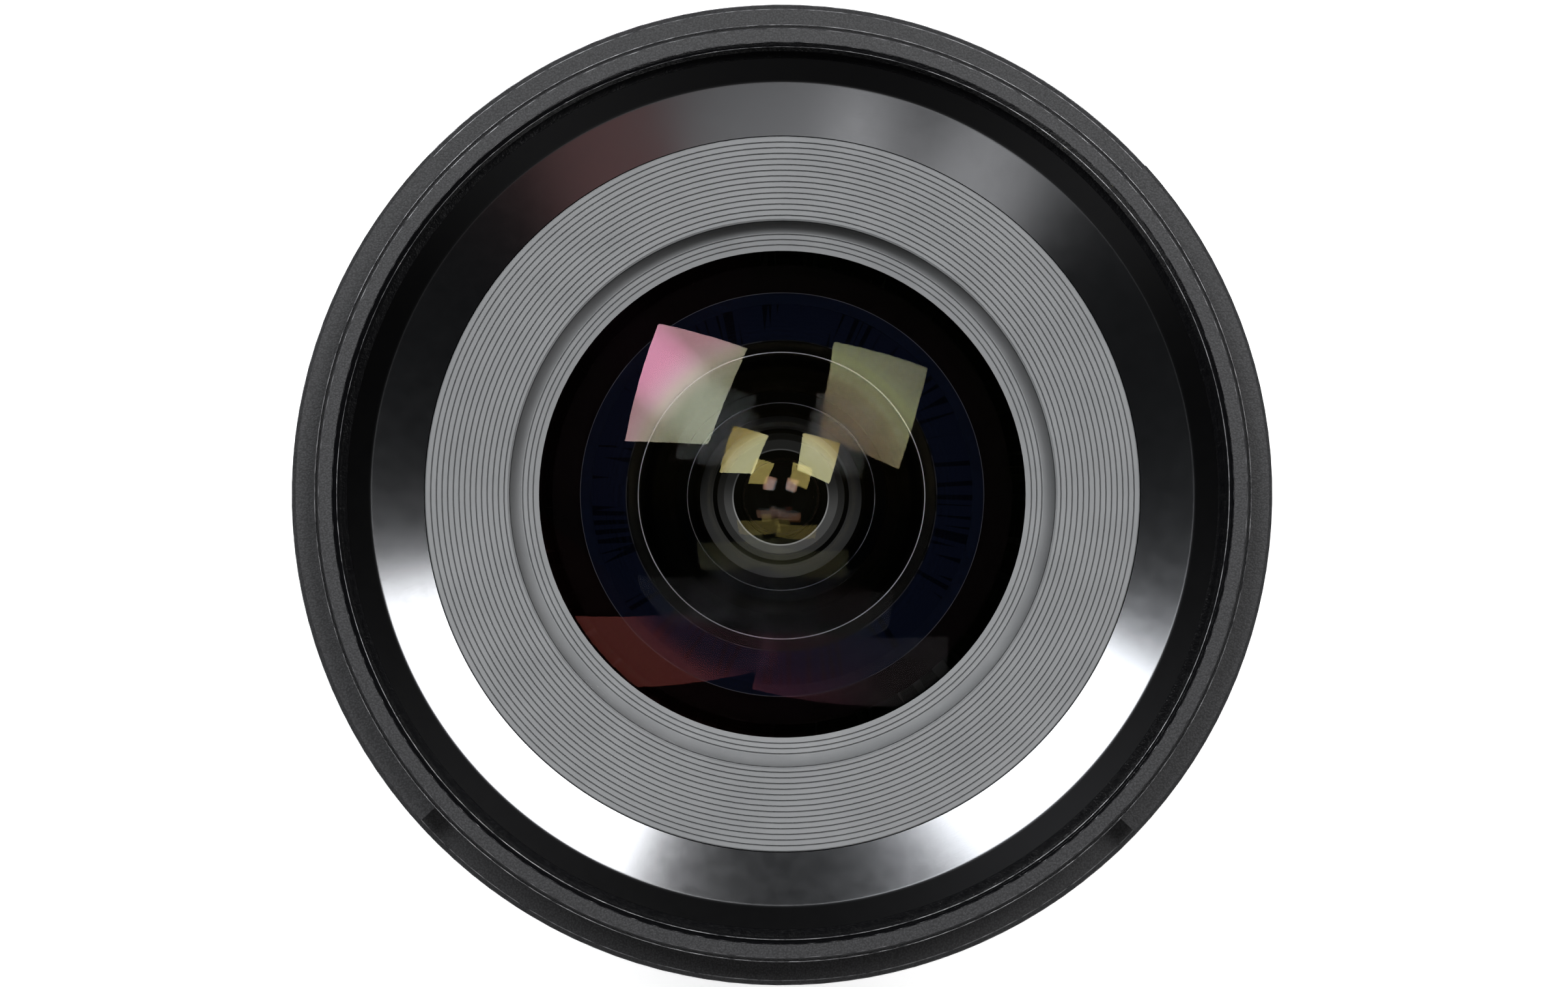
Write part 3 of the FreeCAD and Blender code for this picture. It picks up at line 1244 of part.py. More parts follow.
    glass_r, glass_z = S["glass_six_r"], S["glass_six_z"]
    seat = (glass_z - S["glass_six_thick"] - sag(S["glass_six_back"], glass_r - 0.7))
    cell_r = glass_r + FIT + 1.4
    rim_top = glass_z - sag(S["glass_six_front"], glass_r) + 0.5
    cover = Piece("diaphragm_cover")
    lip = S["drive_inner_r"] - S["run_gap"]
    cover.turned([
        (iris + 0.1, ring_top + 0.3), (lip - 1.1, ring_top + 0.3), (lip - 1.1, ring_low),
        (lip, ring_low), (lip, ring_top + 0.3), (rim - 0.7, ring_top + 0.3),
        (rim - 0.7, plate_top),
        (rim, plate_top), (rim, seat), (cell_r, seat), (cell_r, rim_top),
        (glass_r + FIT, rim_top), (glass_r + FIT, seat), (iris + 0.1, seat),
    ])
    cover.turned([(rim - 1.2, plate_top - 0.1), (rim + 0.2, plate_top - 0.1),
                  (rim + 0.2, ring_top + 0.3), (rim - 1.2, ring_top + 0.3)],
                 centre=CONTACT_TURN, sweep=24.0, cut=True, word="notch")
    lens("lens_six", glass_r, glass_z, S["glass_six_thick"], S["glass_six_front"],
         S["glass_six_back"], clear=glass_r - 0.7)


def place(piece, at_r):
    """Stands a piece that was drawn round the origin at the motor's place."""
    angle = math.radians(CONTACT_TURN)
    x, y = number(at_r) * math.cos(angle), number(at_r) * math.sin(angle)
    piece.body.Placement = FreeCAD.Placement(FreeCAD.Vector(x, y, 0), FreeCAD.Rotation())
    piece.body.setExpression("Placement.Base.x", (at_r * cosine(CONTACT_TURN)).text)
    piece.body.setExpression("Placement.Base.y", (at_r * sine(CONTACT_TURN)).text)


def drive_slot(pivot, tail):
    """Both sides of the slot in the drive ring that the pin of a blade follows, as the ring
    turns forwards and the blade swings in."""
    stations = 7
    half = S["drive_pin_r"] + S["slot_gap"]
    inner_side, outer_side = [], []
    for i in range(stations):
        share = (S["slot_spare"] * 2.0 + S["iris_turn"]) * (i / (stations - 1.0))
        turn = share - S["slot_spare"]
        swing = turn * S["blade_swing"] / S["iris_turn"]
        x = pivot + tail * sine(swing)
        y = -tail * cosine(swing)
        along = x * cosine(turn) + y * sine(turn)
        across = y * cosine(turn) - x * sine(turn)
        far = root(along * along + across * across)
        inner_side.append((along * (1.0 - half / far), across * (1.0 - half / far)))
        outer_side.append((along * (1.0 + half / far), across * (1.0 + half / far)))
    return inner_side + outer_side[::-1]


def scale_and_switch():
    """The barrel between the rings, with the scale window, the switch plate and the switch."""
    inner, low, top = S["scale_inner_r"], S["scale_z"], S["scale_top_z"]
    low_r, high_r = S["scale_low_r"], S["scale_high_r"]
    barrel = Piece("scale_barrel")
    barrel.turned([(inner, low), (low_r - 0.2, low), (low_r, low + 0.3), (high_r, top - 0.4),
                   (high_r - 0.3, top), (inner, top)])
    sill, head, half = S["window_low_z"], S["window_high_z"], S["window_half"]
    barrel.turned([(inner - 1.0, sill), (high_r + 1.0, sill), (high_r + 1.0, head),
                   (inner - 1.0, head)], centre=WINDOW_TURN, sweep=half * 2.0, cut=True)
    slant = (high_r - low_r) / (top - 0.4 - low - 0.3)
    window = Piece("scale_window")
    gap, thick = FIT, S["window_thick"]
    sill_r = low_r + slant * (sill - low - 0.3) - 0.1
    head_r = low_r + slant * (head - low - 0.3) - 0.1
    window.turned([(sill_r - thick, sill + gap), (sill_r, sill + gap), (head_r, head - gap),
                   (head_r - thick, head - gap)], centre=WINDOW_TURN, sweep=half * 2.0 - 0.06)

    x, wide = S["switch_x"], S["plate_half"]
    foot, head = S["plate_z"], S["plate_z"] + S["plate_high"]
    pocket = barrel.sketch("pocket", turn=SWITCH_TURN - 90.0, start=x)
    rectangle(pocket, -wide - FIT, wide + FIT, foot - FIT, head + FIT)
    barrel.lifted(pocket, S["plate_thick"] + 3.0, cut=True, word="pocket")
    plate = Piece("switch_plate")
    face = plate.sketch("plate", turn=SWITCH_TURN - 90.0, start=x)
    rectangle(face, -wide, wide, foot, head)
    plate.lifted(face, S["plate_thick"], word="plate", reverse=True)
    plate.bevel_edges(lambda e: e.BoundBox.XLength > 1.0, Size(1.2, "1.2"), kind="Fillet")
    slot = plate.sketch("slot", turn=SWITCH_TURN - 90.0, start=x)
    half, knob_low = S["switch_half"], S["switch_z"]
    knob_high = S["switch_long"]
    rectangle(slot, -half - S["run_gap"], half + S["run_gap"], knob_low - 0.1,
              knob_low + knob_high + S["switch_travel"] + 0.1)
    plate.lifted(slot, S["plate_thick"], cut=True, word="slot")
    knob = Piece("focus_switch")
    face = knob.sketch("knob", turn=SWITCH_TURN - 90.0, start=x + 0.05)
    rectangle(face, -half, half, knob_low, knob_low + knob_high)
    knob.lifted(face, S["switch_out"] - x - 0.05, word="knob", reverse=True)
    outer = -number(S["switch_out"])
    knob.bevel_edges(lambda e: abs(e.BoundBox.XMin - outer) < 1e-4
                     and e.BoundBox.XLength < 1e-4, Size(0.3, "0.3"), kind="Fillet")


def front_barrel():
    """Front housing with the filter thread and the hood lugs, its screws and the dish ring."""
    top, rim, neck = S["front_z"], S["rim_r"], S["neck_r"]
    minor, major, bevel = S["thread_minor_r"], S["thread_major_r"], S["rim_bevel"]
    thread_low = top - S["thread_deep"]
    lug_top = top - S["lug_below_rim"]
    shoulder = lug_top - S["lug_thick"] - S["hood_gap"]
    shoulder_low = shoulder - S["shoulder_high"]
    inner, seat = S["chassis_inner_r"], S["chassis_top_z"]
    flange_top = seat + S["front_flange_thick"]
    tube = inner + S["chassis_wall"] + FIT
    collar, collar_low = tube + S["collar_wall"], seat - S["collar_high"]
    skirt_out = S["focus_inner_r"] - S["run_gap"]
    skirt_in = skirt_out - S["front_skirt_wall"]
    skirt_low = flange_top - S["front_skirt_long"]
    dish_seat, wide = S["dish_seat_r"], S["barrel_r"]
    barrel = Piece("front_barrel")
    barrel.turned([
        (inner, seat), (tube, seat), (tube, collar_low), (collar, collar_low), (collar, seat),
        (skirt_in, seat), (skirt_in, skirt_low), (skirt_out, skirt_low),
        (skirt_out, shoulder_low), (wide - 0.3, shoulder_low), (wide, shoulder_low + 0.3),
        (wide, shoulder - 0.5), (wide - 0.5, shoulder), (neck, shoulder), (neck, lug_top),
        (rim, lug_top), (rim, top - bevel), (rim - bevel, top), (major, top),
        (minor, top - bevel), (minor, thread_low), (dish_seat, thread_low),
        (dish_seat, flange_top), (inner, flange_top),
    ])
    lug_out = S["lug_r"]
    root_r = neck - 0.4
    lug_low = lug_top - S["lug_thick"]
    lug = barrel.turned([(root_r, lug_low), (lug_out - 0.2, lug_low), (lug_out, lug_low + 0.2),
                         (lug_out, lug_top - 0.3), (lug_out - 0.3, lug_top),
                         (root_r, lug_top)],
                        centre=S["lug_turn"], sweep=S["lug_span"], word="lug")
    barrel.around(lug, 2)
    height, at = S["front_screw_z"], S["front_screw_r"]
    hole = barrel.radial_hole(FRONT_SCREW_TURN, at + FIT, height, collar + 0.5)
    barrel.around(hole, 3)
    access = barrel.sketch("access", turn=FRONT_SCREW_TURN - 90.0, start=collar + 0.5)
    circle(access, 0.0, height, S["screw_access_r"])
    barrel.around(barrel.lifted(access, 6.0, cut=True, word="access"), 3)
    pitch = S["thread_pitch"]
    start = thread_low
    turns = S["thread_turns"]
    barrel.helix_cut([(minor - 0.1, start), (major, start + pitch * 0.4),
                      (major, start + pitch * 0.56), (minor - 0.1, start + pitch * 0.94)],
                     0.0, pitch * turns, turns, word="thread")

    screws = Piece("front_screws")
    head = S["front_head_r"]
    length = [inner + 0.4, collar, collar + 0.7]
    profile = [(0.0, length[0]), (at, length[0]), (at, length[1]), (head, length[1]),
               (head, length[2]), (0.0, length[2])]
    screws.around(spun(screws, height, profile, FRONT_SCREW_TURN, lying=True), 3)

    edge, outer, low = S["dish_inner_r"], S["dish_outer_r"], S["dish_z"]
    thick = S["dish_thick"]
    rise = (outer - edge) * tangent(S["dish_slope"])
    bend = low + rise
    wall = dish_seat - FIT
    dish = Piece("dish_ring")
    dish.turned([
        (edge, low - thick), (edge, low), (outer, bend), (wall, thread_low),
        (wall, flange_top), (wall - thick, flange_top), (wall - thick, bend - thick),
        (outer, bend - thick),
    ])


camera_mount()
rear_barrel()
fixed_tubes()
zoom_drive()
front_group()
focus_drive()
focus_group()
rear_group()
scale_and_switch()
front_barrel()

failed = [
    item.Name for item in document.Objects if "Invalid" in item.State or "Error" in item.State
]
failed += [p.name for p in PIECES if p.body.Shape.isNull() or not p.body.Shape.isValid()]
if failed:
    raise ValueError("not sound: " + ", ".join(failed))
os.makedirs("parts", exist_ok=True)
for piece in PIECES:
    piece.body.Shape.exportStep(f"parts/{piece.name}.step")
    print(piece.name, len(piece.body.Shape.Solids), round(piece.body.Shape.Volume, 1))
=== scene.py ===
import bmesh
import bpy
from math import cos, pi, radians, sin, sqrt, tan
from mathutils import Matrix, Vector


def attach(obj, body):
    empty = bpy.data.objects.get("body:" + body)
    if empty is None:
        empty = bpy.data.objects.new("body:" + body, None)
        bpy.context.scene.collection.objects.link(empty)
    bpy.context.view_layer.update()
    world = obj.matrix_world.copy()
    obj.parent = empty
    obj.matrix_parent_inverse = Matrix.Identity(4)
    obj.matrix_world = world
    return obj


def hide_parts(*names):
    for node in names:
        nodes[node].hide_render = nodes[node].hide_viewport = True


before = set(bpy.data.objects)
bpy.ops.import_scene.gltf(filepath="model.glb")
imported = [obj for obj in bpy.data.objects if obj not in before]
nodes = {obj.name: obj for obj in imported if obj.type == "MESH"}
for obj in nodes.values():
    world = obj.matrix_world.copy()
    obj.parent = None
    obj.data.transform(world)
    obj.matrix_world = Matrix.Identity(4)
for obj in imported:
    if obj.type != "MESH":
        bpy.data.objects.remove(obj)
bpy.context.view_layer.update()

# View and light. The lens stands on its tail on a pale table and is seen from above, almost
# along its axis, through a 105 mm lens. Two square soft boxes hang at the upper left and upper
# right, and dim cards and two long low benches stand round the lower side.
RIM = Vector((0, 0, 0.081))
FROM_RIM, AIM_SHIFT = Vector((-0.0040, -0.0070, 0.390)), Vector((0.00005, -0.0001, 0))
FOCAL, SENSOR = 105.0, 36.0
LAMP_FAR = 0.9
ROOM_GLOW, TABLE_GLOW = 0.032, 0.62
TABLE_Z, TABLE_HALF = -0.005, 3.0


def aimed(thing, spot, target, up=Vector((0, 1, 0))):
    """Stands a camera or lamp at spot, looking at target."""
    ahead = (target - spot).normalized()
    side = ahead.cross(up).normalized()
    over = side.cross(ahead)
    turn = Matrix((side, over, -ahead)).transposed().to_4x4()
    thing.matrix_world = Matrix.Translation(spot) @ turn


camera = bpy.data.objects.new("view", bpy.data.cameras.new("view"))
camera.data.sensor_width = SENSOR
camera.data.lens = FOCAL
camera.data.clip_start = 0.01
bpy.context.scene.collection.objects.link(camera)
bpy.context.scene.camera = camera
aimed(camera, RIM + FROM_RIM, RIM + AIM_SHIFT)
bpy.context.scene.view_settings.view_transform = "Standard"


def soft_box(name, around, tilt, wide, tall, glow, lean=0.0, past=(0, 0), colour=(1, 1, 1)):
    """A square lamp at that angle around the axis and off it, in degrees. glow is its radiance,
    lean turns it about its own middle, and past is how far beside the rim it faces."""
    lamp = bpy.data.objects.new(name, bpy.data.lights.new(name, "AREA"))
    lamp.data.shape = "RECTANGLE"
    lamp.data.size, lamp.data.size_y = wide, tall
    lamp.data.energy = glow * pi * wide * tall
    lamp.data.color = colour
    bpy.context.scene.collection.objects.link(lamp)
    a, t, turn = radians(around), radians(tilt), radians(lean)
    spot = RIM + LAMP_FAR * Vector((sin(t) * cos(a), sin(t) * sin(a), cos(t)))
    aimed(lamp, spot, RIM + Vector((*past, 0)), Vector((sin(turn), cos(turn), 0)))


soft_box("left_box", 131.4, 31.3, 0.334, 0.394, 16.0, -4.5, (0.566, -0.566), (0.97, 0.985, 1.0))
soft_box("right_box", 47.0, 28.2, 0.325, 0.36, 16.0, 29.0, (-0.45, -0.20))
soft_box("left_card", 236.0, 27.0, 0.15, 0.12, 2.1)
soft_box("low_card", 272.0, 27.0, 0.22, 0.12, 1.1)
soft_box("right_card", 301.0, 27.0, 0.18, 0.12, 0.6, colour=(1.0, 0.50, 0.48))
soft_box("left_bench", 234.0, 41.3, 0.72, 0.24, 1.9)
soft_box("right_bench", 293.0, 41.3, 0.64, 0.24, 1.9)

world = bpy.data.worlds.new("room")
world.use_nodes = True
bpy.context.scene.world = world
tree = world.node_tree
room = tree.nodes["Background"]
room.inputs["Color"].default_value = (0.9, 0.95, 1.0, 1)
room.inputs["Strength"].default_value = ROOM_GLOW
backdrop = tree.nodes.new("ShaderNodeBackground")
backdrop.inputs["Color"].default_value = (1, 1, 1, 1)
seen = tree.nodes.new("ShaderNodeLightPath")
either = tree.nodes.new("ShaderNodeMixShader")
tree.links.new(seen.outputs["Is Camera Ray"], either.inputs["Fac"])
tree.links.new(room.outputs[0], either.inputs[1])
tree.links.new(backdrop.outputs[0], either.inputs[2])
tree.links.new(either.outputs[0], tree.nodes["World Output"].inputs["Surface"])

table = bpy.data.meshes.new("table")
table.from_pydata([(x * TABLE_HALF, y * TABLE_HALF, TABLE_Z)
                   for x, y in ((-1, -1), (1, -1), (1, 1), (-1, 1))], [], [(0, 1, 2, 3)])
table = bpy.data.objects.new("table", table)
bpy.context.scene.collection.objects.link(table)
paper = bpy.data.materials.new("table_paper")
paper.use_nodes = True
tree = paper.node_tree
shade = tree.nodes["Principled BSDF"]
shade.inputs["Base Color"].default_value = (0.82, 0.82, 0.82, 1)
shade.inputs["Roughness"].default_value = 0.9
shade.inputs["Emission Color"].default_value = (1, 1, 1, 1)
seen = tree.nodes.new("ShaderNodeLightPath")
lift = tree.nodes.new("ShaderNodeMath")
lift.operation = "MULTIPLY"
lift.inputs[1].default_value = TABLE_GLOW
tree.links.new(seen.outputs["Is Camera Ray"], lift.inputs[0])
tree.links.new(lift.outputs[0], shade.inputs["Emission Strength"])
table.data.materials.append(paper)

# Camera bayonet. The real ring is brass, turned and plated with satin chrome, and four sunk
# cross-head screws hold it on the rear barrel. The turning leaves fine rings on every face.
MOUNT_COLOUR = (0.62, 0.61, 0.59)
SCREW_AT_R, SCREW_HEAD_R, SCREW_R = 0.0292, 0.0019, 0.0010
SCREW_FACE_Z, SCREW_TIP_Z = 0.00005, 0.0084
NEAR = 1e-7


def material(name, colour, rough, metal=0.0):
    """A new material, with its tree and its shader."""
    made = bpy.data.materials.new(name)
    made.use_nodes = True
    shader = made.node_tree.nodes["Principled BSDF"]
    shader.inputs["Base Color"].default_value = (*colour, 1)
    shader.inputs["Roughness"].default_value = rough
    shader.inputs["Metallic"].default_value = metal
    return made, made.node_tree, shader


def add(tree, kind, **values):
    """A node with its settings, and its inputs by name."""
    node = tree.nodes.new("ShaderNode" + kind)
    for key, value in values.items():
        key = key.replace("_", " ")
        if key in node.inputs:
            node.inputs[key].default_value = value
        else:
            setattr(node, key.replace(" ", "_"), value)
    return node


def place(tree):
    """The object's own coordinates, in metres."""
    return add(tree, "TexCoord").outputs["Object"]


def own_axes(tree):
    """The object's own X, Y and Z, in metres, as three sockets."""
    apart = add(tree, "SeparateXYZ")
    tree.links.new(place(tree), apart.inputs["Vector"])
    return tuple(apart.outputs)


def off_axis(tree):
    """The distance from the axis, and the height, in metres."""
    x, y, z = own_axes(tree)
    flat = add(tree, "CombineXYZ")
    tree.links.new(x, flat.inputs["X"])
    tree.links.new(y, flat.inputs["Y"])
    far = add(tree, "VectorMath", operation="LENGTH")
    tree.links.new(flat.outputs["Vector"], far.inputs[0])
    return far.outputs["Value"], z


def blend_colours(tree, shader, factor, low, high, start=0.3, end=0.7):
    """Runs the base colour from low to high as the factor rises."""
    ramp = add(tree, "ValToRGB")
    ramp.color_ramp.elements[0].position = start
    ramp.color_ramp.elements[0].color = (*low, 1)
    ramp.color_ramp.elements[1].position = end
    ramp.color_ramp.elements[1].color = (*high, 1)
    tree.links.new(factor, ramp.inputs["Fac"])
    tree.links.new(ramp.outputs["Color"], shader.inputs["Base Color"])


def vary_rough(tree, shader, factor, low, high):
    """Runs the roughness from low to high as the factor rises from 0 to 1."""
    change = add(tree, "MapRange", To_Min=low, To_Max=high)
    tree.links.new(factor, change.inputs["Value"])
    tree.links.new(change.outputs["Result"], shader.inputs["Roughness"])


def bump(tree, shader, height, strength, distance, before=None):
    """A bump of that height, on top of an earlier one."""
    node = add(tree, "Bump")
    node.inputs["Strength"].default_value = strength
    node.inputs["Distance"].default_value = distance
    tree.links.new(height, node.inputs["Height"])
    if before is not None:
        tree.links.new(before.outputs["Normal"], node.inputs["Normal"])
    tree.links.new(node.outputs["Normal"], shader.inputs["Normal"])
    return node


def noise(tree, scale, detail=3.0, rough=0.5):
    """Noise on the object's own coordinates, with that many features to the metre."""
    texture = add(tree, "TexNoise", Scale=scale, Detail=detail, Roughness=rough)
    tree.links.new(place(tree), texture.inputs["Vector"])
    return texture.outputs["Fac"]


def lathe_marks(tree, scale):
    """Fine rings round the axis, as a turning tool leaves them."""
    far, high = off_axis(tree)
    line = add(tree, "CombineXYZ")
    tree.links.new(far, line.inputs["X"])
    tree.links.new(high, line.inputs["Y"])
    texture = add(tree, "TexNoise", Scale=scale, Detail=2.0)
    tree.links.new(line.outputs["Vector"], texture.inputs["Vector"])
    return texture.outputs["Fac"]


def turned_metal(name, colour, rough, marks=9000.0, worn=(0.75, 1.15)):
    """Lathe-turned metal with faint rings and smudges."""
    made, tree, shader = material(name, colour, rough, 1.0)
    rings = lathe_marks(tree, marks)
    smudge = noise(tree, 160.0, 4.0, 0.6)
    blend_colours(tree, shader, smudge, [c * worn[0] for c in colour],
                  [min(1.0, c * worn[1]) for c in colour])
    vary_rough(tree, shader, smudge, rough * 0.75, rough * 1.3)
    bump(tree, shader, rings, 0.25, 0.00002)
    return made


def dress(made, *names):
    """Gives CAD nodes that material."""
    for name in names:
        nodes[name].data.materials.clear()
        nodes[name].data.materials.append(made)


def piece(name, mesh, made, body, *replaced, slot=None):
    """Makes an object of a mesh, in that material, that rides on that body."""
    thing = bpy.data.objects.new(name, mesh)
    bpy.context.scene.collection.objects.link(thing)
    if not mesh.materials:
        mesh.materials.append(made)
    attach(thing, body)
    if replaced:
        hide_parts(*replaced)


def from_bmesh(name, shape, sharp=35.0):
    """Turns a bmesh into a mesh with outward faces, and sharp edges above that angle."""
    bmesh.ops.remove_doubles(shape, verts=shape.verts, dist=NEAR)
    bmesh.ops.recalc_face_normals(shape, faces=shape.faces)
    for face in shape.faces:
        face.smooth = True
    for edge in shape.edges:
        if len(edge.link_faces) == 2:
            edge.smooth = edge.calc_face_angle(0.0) < radians(sharp)
    mesh = bpy.data.meshes.new(name)
    shape.to_mesh(mesh)
    shape.free()
    return mesh


def skin(shape, rings):
    """Faces between each ring of points and the next."""
    for low, high in zip(rings, rings[1:]):
        for i in range(len(low)):
            j = (i + 1) % len(low)
            shape.faces.new((low[i], low[j], high[j], high[i]))


mount_chrome = turned_metal("mount_chrome", MOUNT_COLOUR, 0.26)
dress(mount_chrome, "mount_ring")


def cross_head(shape, centre, face_z, head_r, shank_r, tip_z):
    """One screw with a cross recess in its head, along Z."""
    spokes, edge, point = 32, 0.00008, 0.0002
    cross, deep, arm = head_r * 0.62, head_r * 0.45, head_r * 0.16
    angles = [2 * pi * i / spokes for i in range(spokes)]
    star = [min(cross, arm / max(1e-6, min(abs(sin(a)), abs(cos(a))))) for a in angles]
    levels = (
        (face_z + deep, [head_r * 0.02] * spokes),
        (face_z + deep, [r * 0.8 for r in star]),
        (face_z, star),
        (face_z, [head_r * 0.94] * spokes),
        (face_z + edge, [head_r] * spokes),
        (face_z + (head_r - shank_r), [shank_r] * spokes),
        (tip_z, [shank_r] * spokes),
        (tip_z + point, [shank_r * 0.05] * spokes),
    )
    rings = [
        [shape.verts.new((centre[0] + r * cos(a), centre[1] + r * sin(a), z))
         for a, r in zip(angles, reach)]
        for z, reach in levels
    ]
    skin(shape, rings)
    shape.faces.new(rings[0])
    shape.faces.new(rings[-1])


heads = bmesh.new()
for k in range(4):
    a = radians(45 + 90 * k)
    cross_head(heads, (SCREW_AT_R * cos(a), SCREW_AT_R * sin(a)), SCREW_FACE_Z, SCREW_HEAD_R,
               SCREW_R, SCREW_TIP_Z)
screw_steel = turned_metal("screw_steel", (0.42, 0.42, 0.43), 0.3, 16000.0)
piece("mount_screw_set", from_bmesh("mount_screw_set", heads, sharp=25.0), screw_steel, "barrel",
      "mount_screws", slot="steel")

# Contact block and rear light baffle. Both are moulded in black plastic with a fine spark grain,
# and nine gold-plated pins stand a little proud of the block.
moulded_black, tree, shader = material("moulded_black", (0.028, 0.028, 0.03), 0.55)
grain = noise(tree, 5200.0, 4.0, 0.6)
blend_colours(tree, shader, noise(tree, 420.0), (0.022, 0.022, 0.024), (0.036, 0.036, 0.038))
vary_rough(tree, shader, grain, 0.45, 0.7)
bump(tree, shader, grain, 0.35, 0.00003)
dress(moulded_black, "contact_block", "rear_baffle")

contact_gold = turned_metal("contact_gold", (0.88, 0.63, 0.28), 0.16, 14000.0, (0.85, 1.08))
dress(contact_gold, "contact_pins")

# Rear barrel and the other painted housings. The aluminium and the resin carry the same black
# crinkle paint, sprayed and baked, whose fine grains sparkle under a lamp. The filter thread is
# coloured near black, and so is a narrow ring round the rim's outer edge, as painted shade of the
# gap there; both are a little smoother.
HOUSING_DARK, HOUSING_PALE = (0.013, 0.013, 0.014), (0.042, 0.042, 0.045)
HOUSING_ROUGH = (0.36, 0.60)
THREAD_DARK_AND_GROOVE_SHADE, DARK_ZONE_SMOOTHER = (0.0025, 0.0025, 0.003), 0.26
THREAD_R, DARK_ZONE_Z = 0.03852, 0.0770
GROOVE_IN, GROOVE_OUT = 0.03974, 0.04012


def maths(tree, kind, first, second):
    """A Math node on two sockets or numbers."""
    node = add(tree, "Math", operation=kind)
    for slot, value in zip(node.inputs, (first, second)):
        if isinstance(value, (int, float)):
            slot.default_value = value
        else:
            tree.links.new(value, slot)
    return node.outputs[0]


def mixed(tree, factor, first, second):
    """A colour between two, each a colour or a socket."""
    node = add(tree, "Mix", data_type="RGBA")
    tree.links.new(factor, node.inputs["Factor"])
    for slot, colour in ((node.inputs[6], first), (node.inputs[7], second)):
        if isinstance(colour, tuple):
            slot.default_value = (*colour, 1)
        else:
            tree.links.new(colour, slot)
    return node.outputs[2]


housing_paint, tree, shader = material("housing_paint", HOUSING_DARK, 0.5)
lumps = add(tree, "TexVoronoi", Scale=6500.0, feature="SMOOTH_F1")
tree.links.new(place(tree), lumps.inputs["Vector"])
grains = maths(tree, "MULTIPLY", noise(tree, 12500.0, 2.0, 0.6), 0.6)
grains = maths(tree, "ADD", grains, lumps.outputs["Distance"])
cloud = noise(tree, 1900.0, 3.0, 0.6)
blend_colours(tree, shader, grains, HOUSING_PALE, HOUSING_DARK, 0.25, 0.9)
vary_rough(tree, shader, cloud, *HOUSING_ROUGH)
first = bump(tree, shader, grains, 0.45, 0.00003)
bump(tree, shader, cloud, 0.12, 0.00003, first)
shader.inputs["Specular IOR Level"].default_value = 0.3
far, high = off_axis(tree)
thread = maths(tree, "LESS_THAN", far, THREAD_R)
# Painted shade: the narrow ring round the rim's outer edge is coloured near black for the gap's
# shadow.
groove_painted_shade = maths(tree, "MULTIPLY", maths(tree, "GREATER_THAN", far, GROOVE_IN),
               maths(tree, "LESS_THAN", far, GROOVE_OUT))
thread_dark_and_groove_shade = maths(tree, "MULTIPLY", maths(tree, "GREATER_THAN", high, DARK_ZONE_Z),
             maths(tree, "MAXIMUM", thread, groove_painted_shade))
paint = shader.inputs["Base Color"].links[0].from_socket
tree.links.new(mixed(tree, thread_dark_and_groove_shade, paint, THREAD_DARK_AND_GROOVE_SHADE), shader.inputs["Base Color"])
rough = shader.inputs["Roughness"].links[0].from_socket
tree.links.new(maths(tree, "SUBTRACT", rough, maths(tree, "MULTIPLY", thread_dark_and_groove_shade, DARK_ZONE_SMOOTHER)),
               shader.inputs["Roughness"])
dress(housing_paint, "rear_barrel", "scale_barrel", "focus_ring", "zoom_ring")

# The white mark on the rear barrel shows how to set the lens on the camera. It is a moulded stud
# pressed into the barrel.
MARK_ANGLE = 90.0
mark_white, tree, shader = material("mark_white", (0.78, 0.78, 0.76), 0.42)
blend_colours(tree, shader, noise(tree, 900.0), (0.72, 0.72, 0.70), (0.82, 0.82, 0.80))
bump(tree, shader, noise(tree, 5000.0), 0.1, 0.00001)


def white_mark(name, z, at_r, wide, high):
    """A small round stud that stands out of a barrel's upper side."""
    shape = bmesh.new()
    a = radians(MARK_ANGLE)
    out = Vector((cos(a), sin(a), 0))
    side = Vector((-sin(a), cos(a), 0))
    up = Vector((0, 0, 1))
    base = at_r * out + z * up
    steps, rounds = 6, 28
    rings = []
    for s in range(steps + 1):
        lean = pi / 2 * s / steps
        r, h = max(wide * cos(lean), wide * 0.01), high * sin(lean)
        rings.append([
            shape.verts.new(base + out * h + r * (side * cos(t) + up * sin(t)))
            for t in (2 * pi * i / rounds for i in range(rounds))
        ])
    skin(shape, rings)
    shape.faces.new(rings[0])
    shape.faces.new(rings[-1])
    piece(name, from_bmesh(name, shape), mark_white, "barrel")


white_mark("mount_mark", z=0.0085, at_r=0.03462, wide=0.0012, high=0.0006)

# Circuit board and chips inside the rear barrel. The board is glass-filled epoxy under green
# solder mask, and the chips are black epoxy soldered to its lower side.
made, tree, shader = material("board_green", (0.012, 0.11, 0.05), 0.32)
tracks = add(tree, "TexVoronoi", Scale=620.0, distance="MANHATTAN", feature="DISTANCE_TO_EDGE")
tree.links.new(place(tree), tracks.inputs["Vector"])
blend_colours(tree, shader, tracks.outputs["Distance"], (0.02, 0.2, 0.09), (0.01, 0.09, 0.04),
              0.04, 0.08)
bump(tree, shader, tracks.outputs["Distance"], 0.2, 0.00003)
dress(made, "circuit_board")
made, tree, shader = material("chip_epoxy", (0.02, 0.02, 0.021), 0.5)
grain = noise(tree, 9000.0)
vary_rough(tree, shader, grain, 0.4, 0.62)
bump(tree, shader, grain, 0.15, 0.00001)
dress(made, "board_chips")

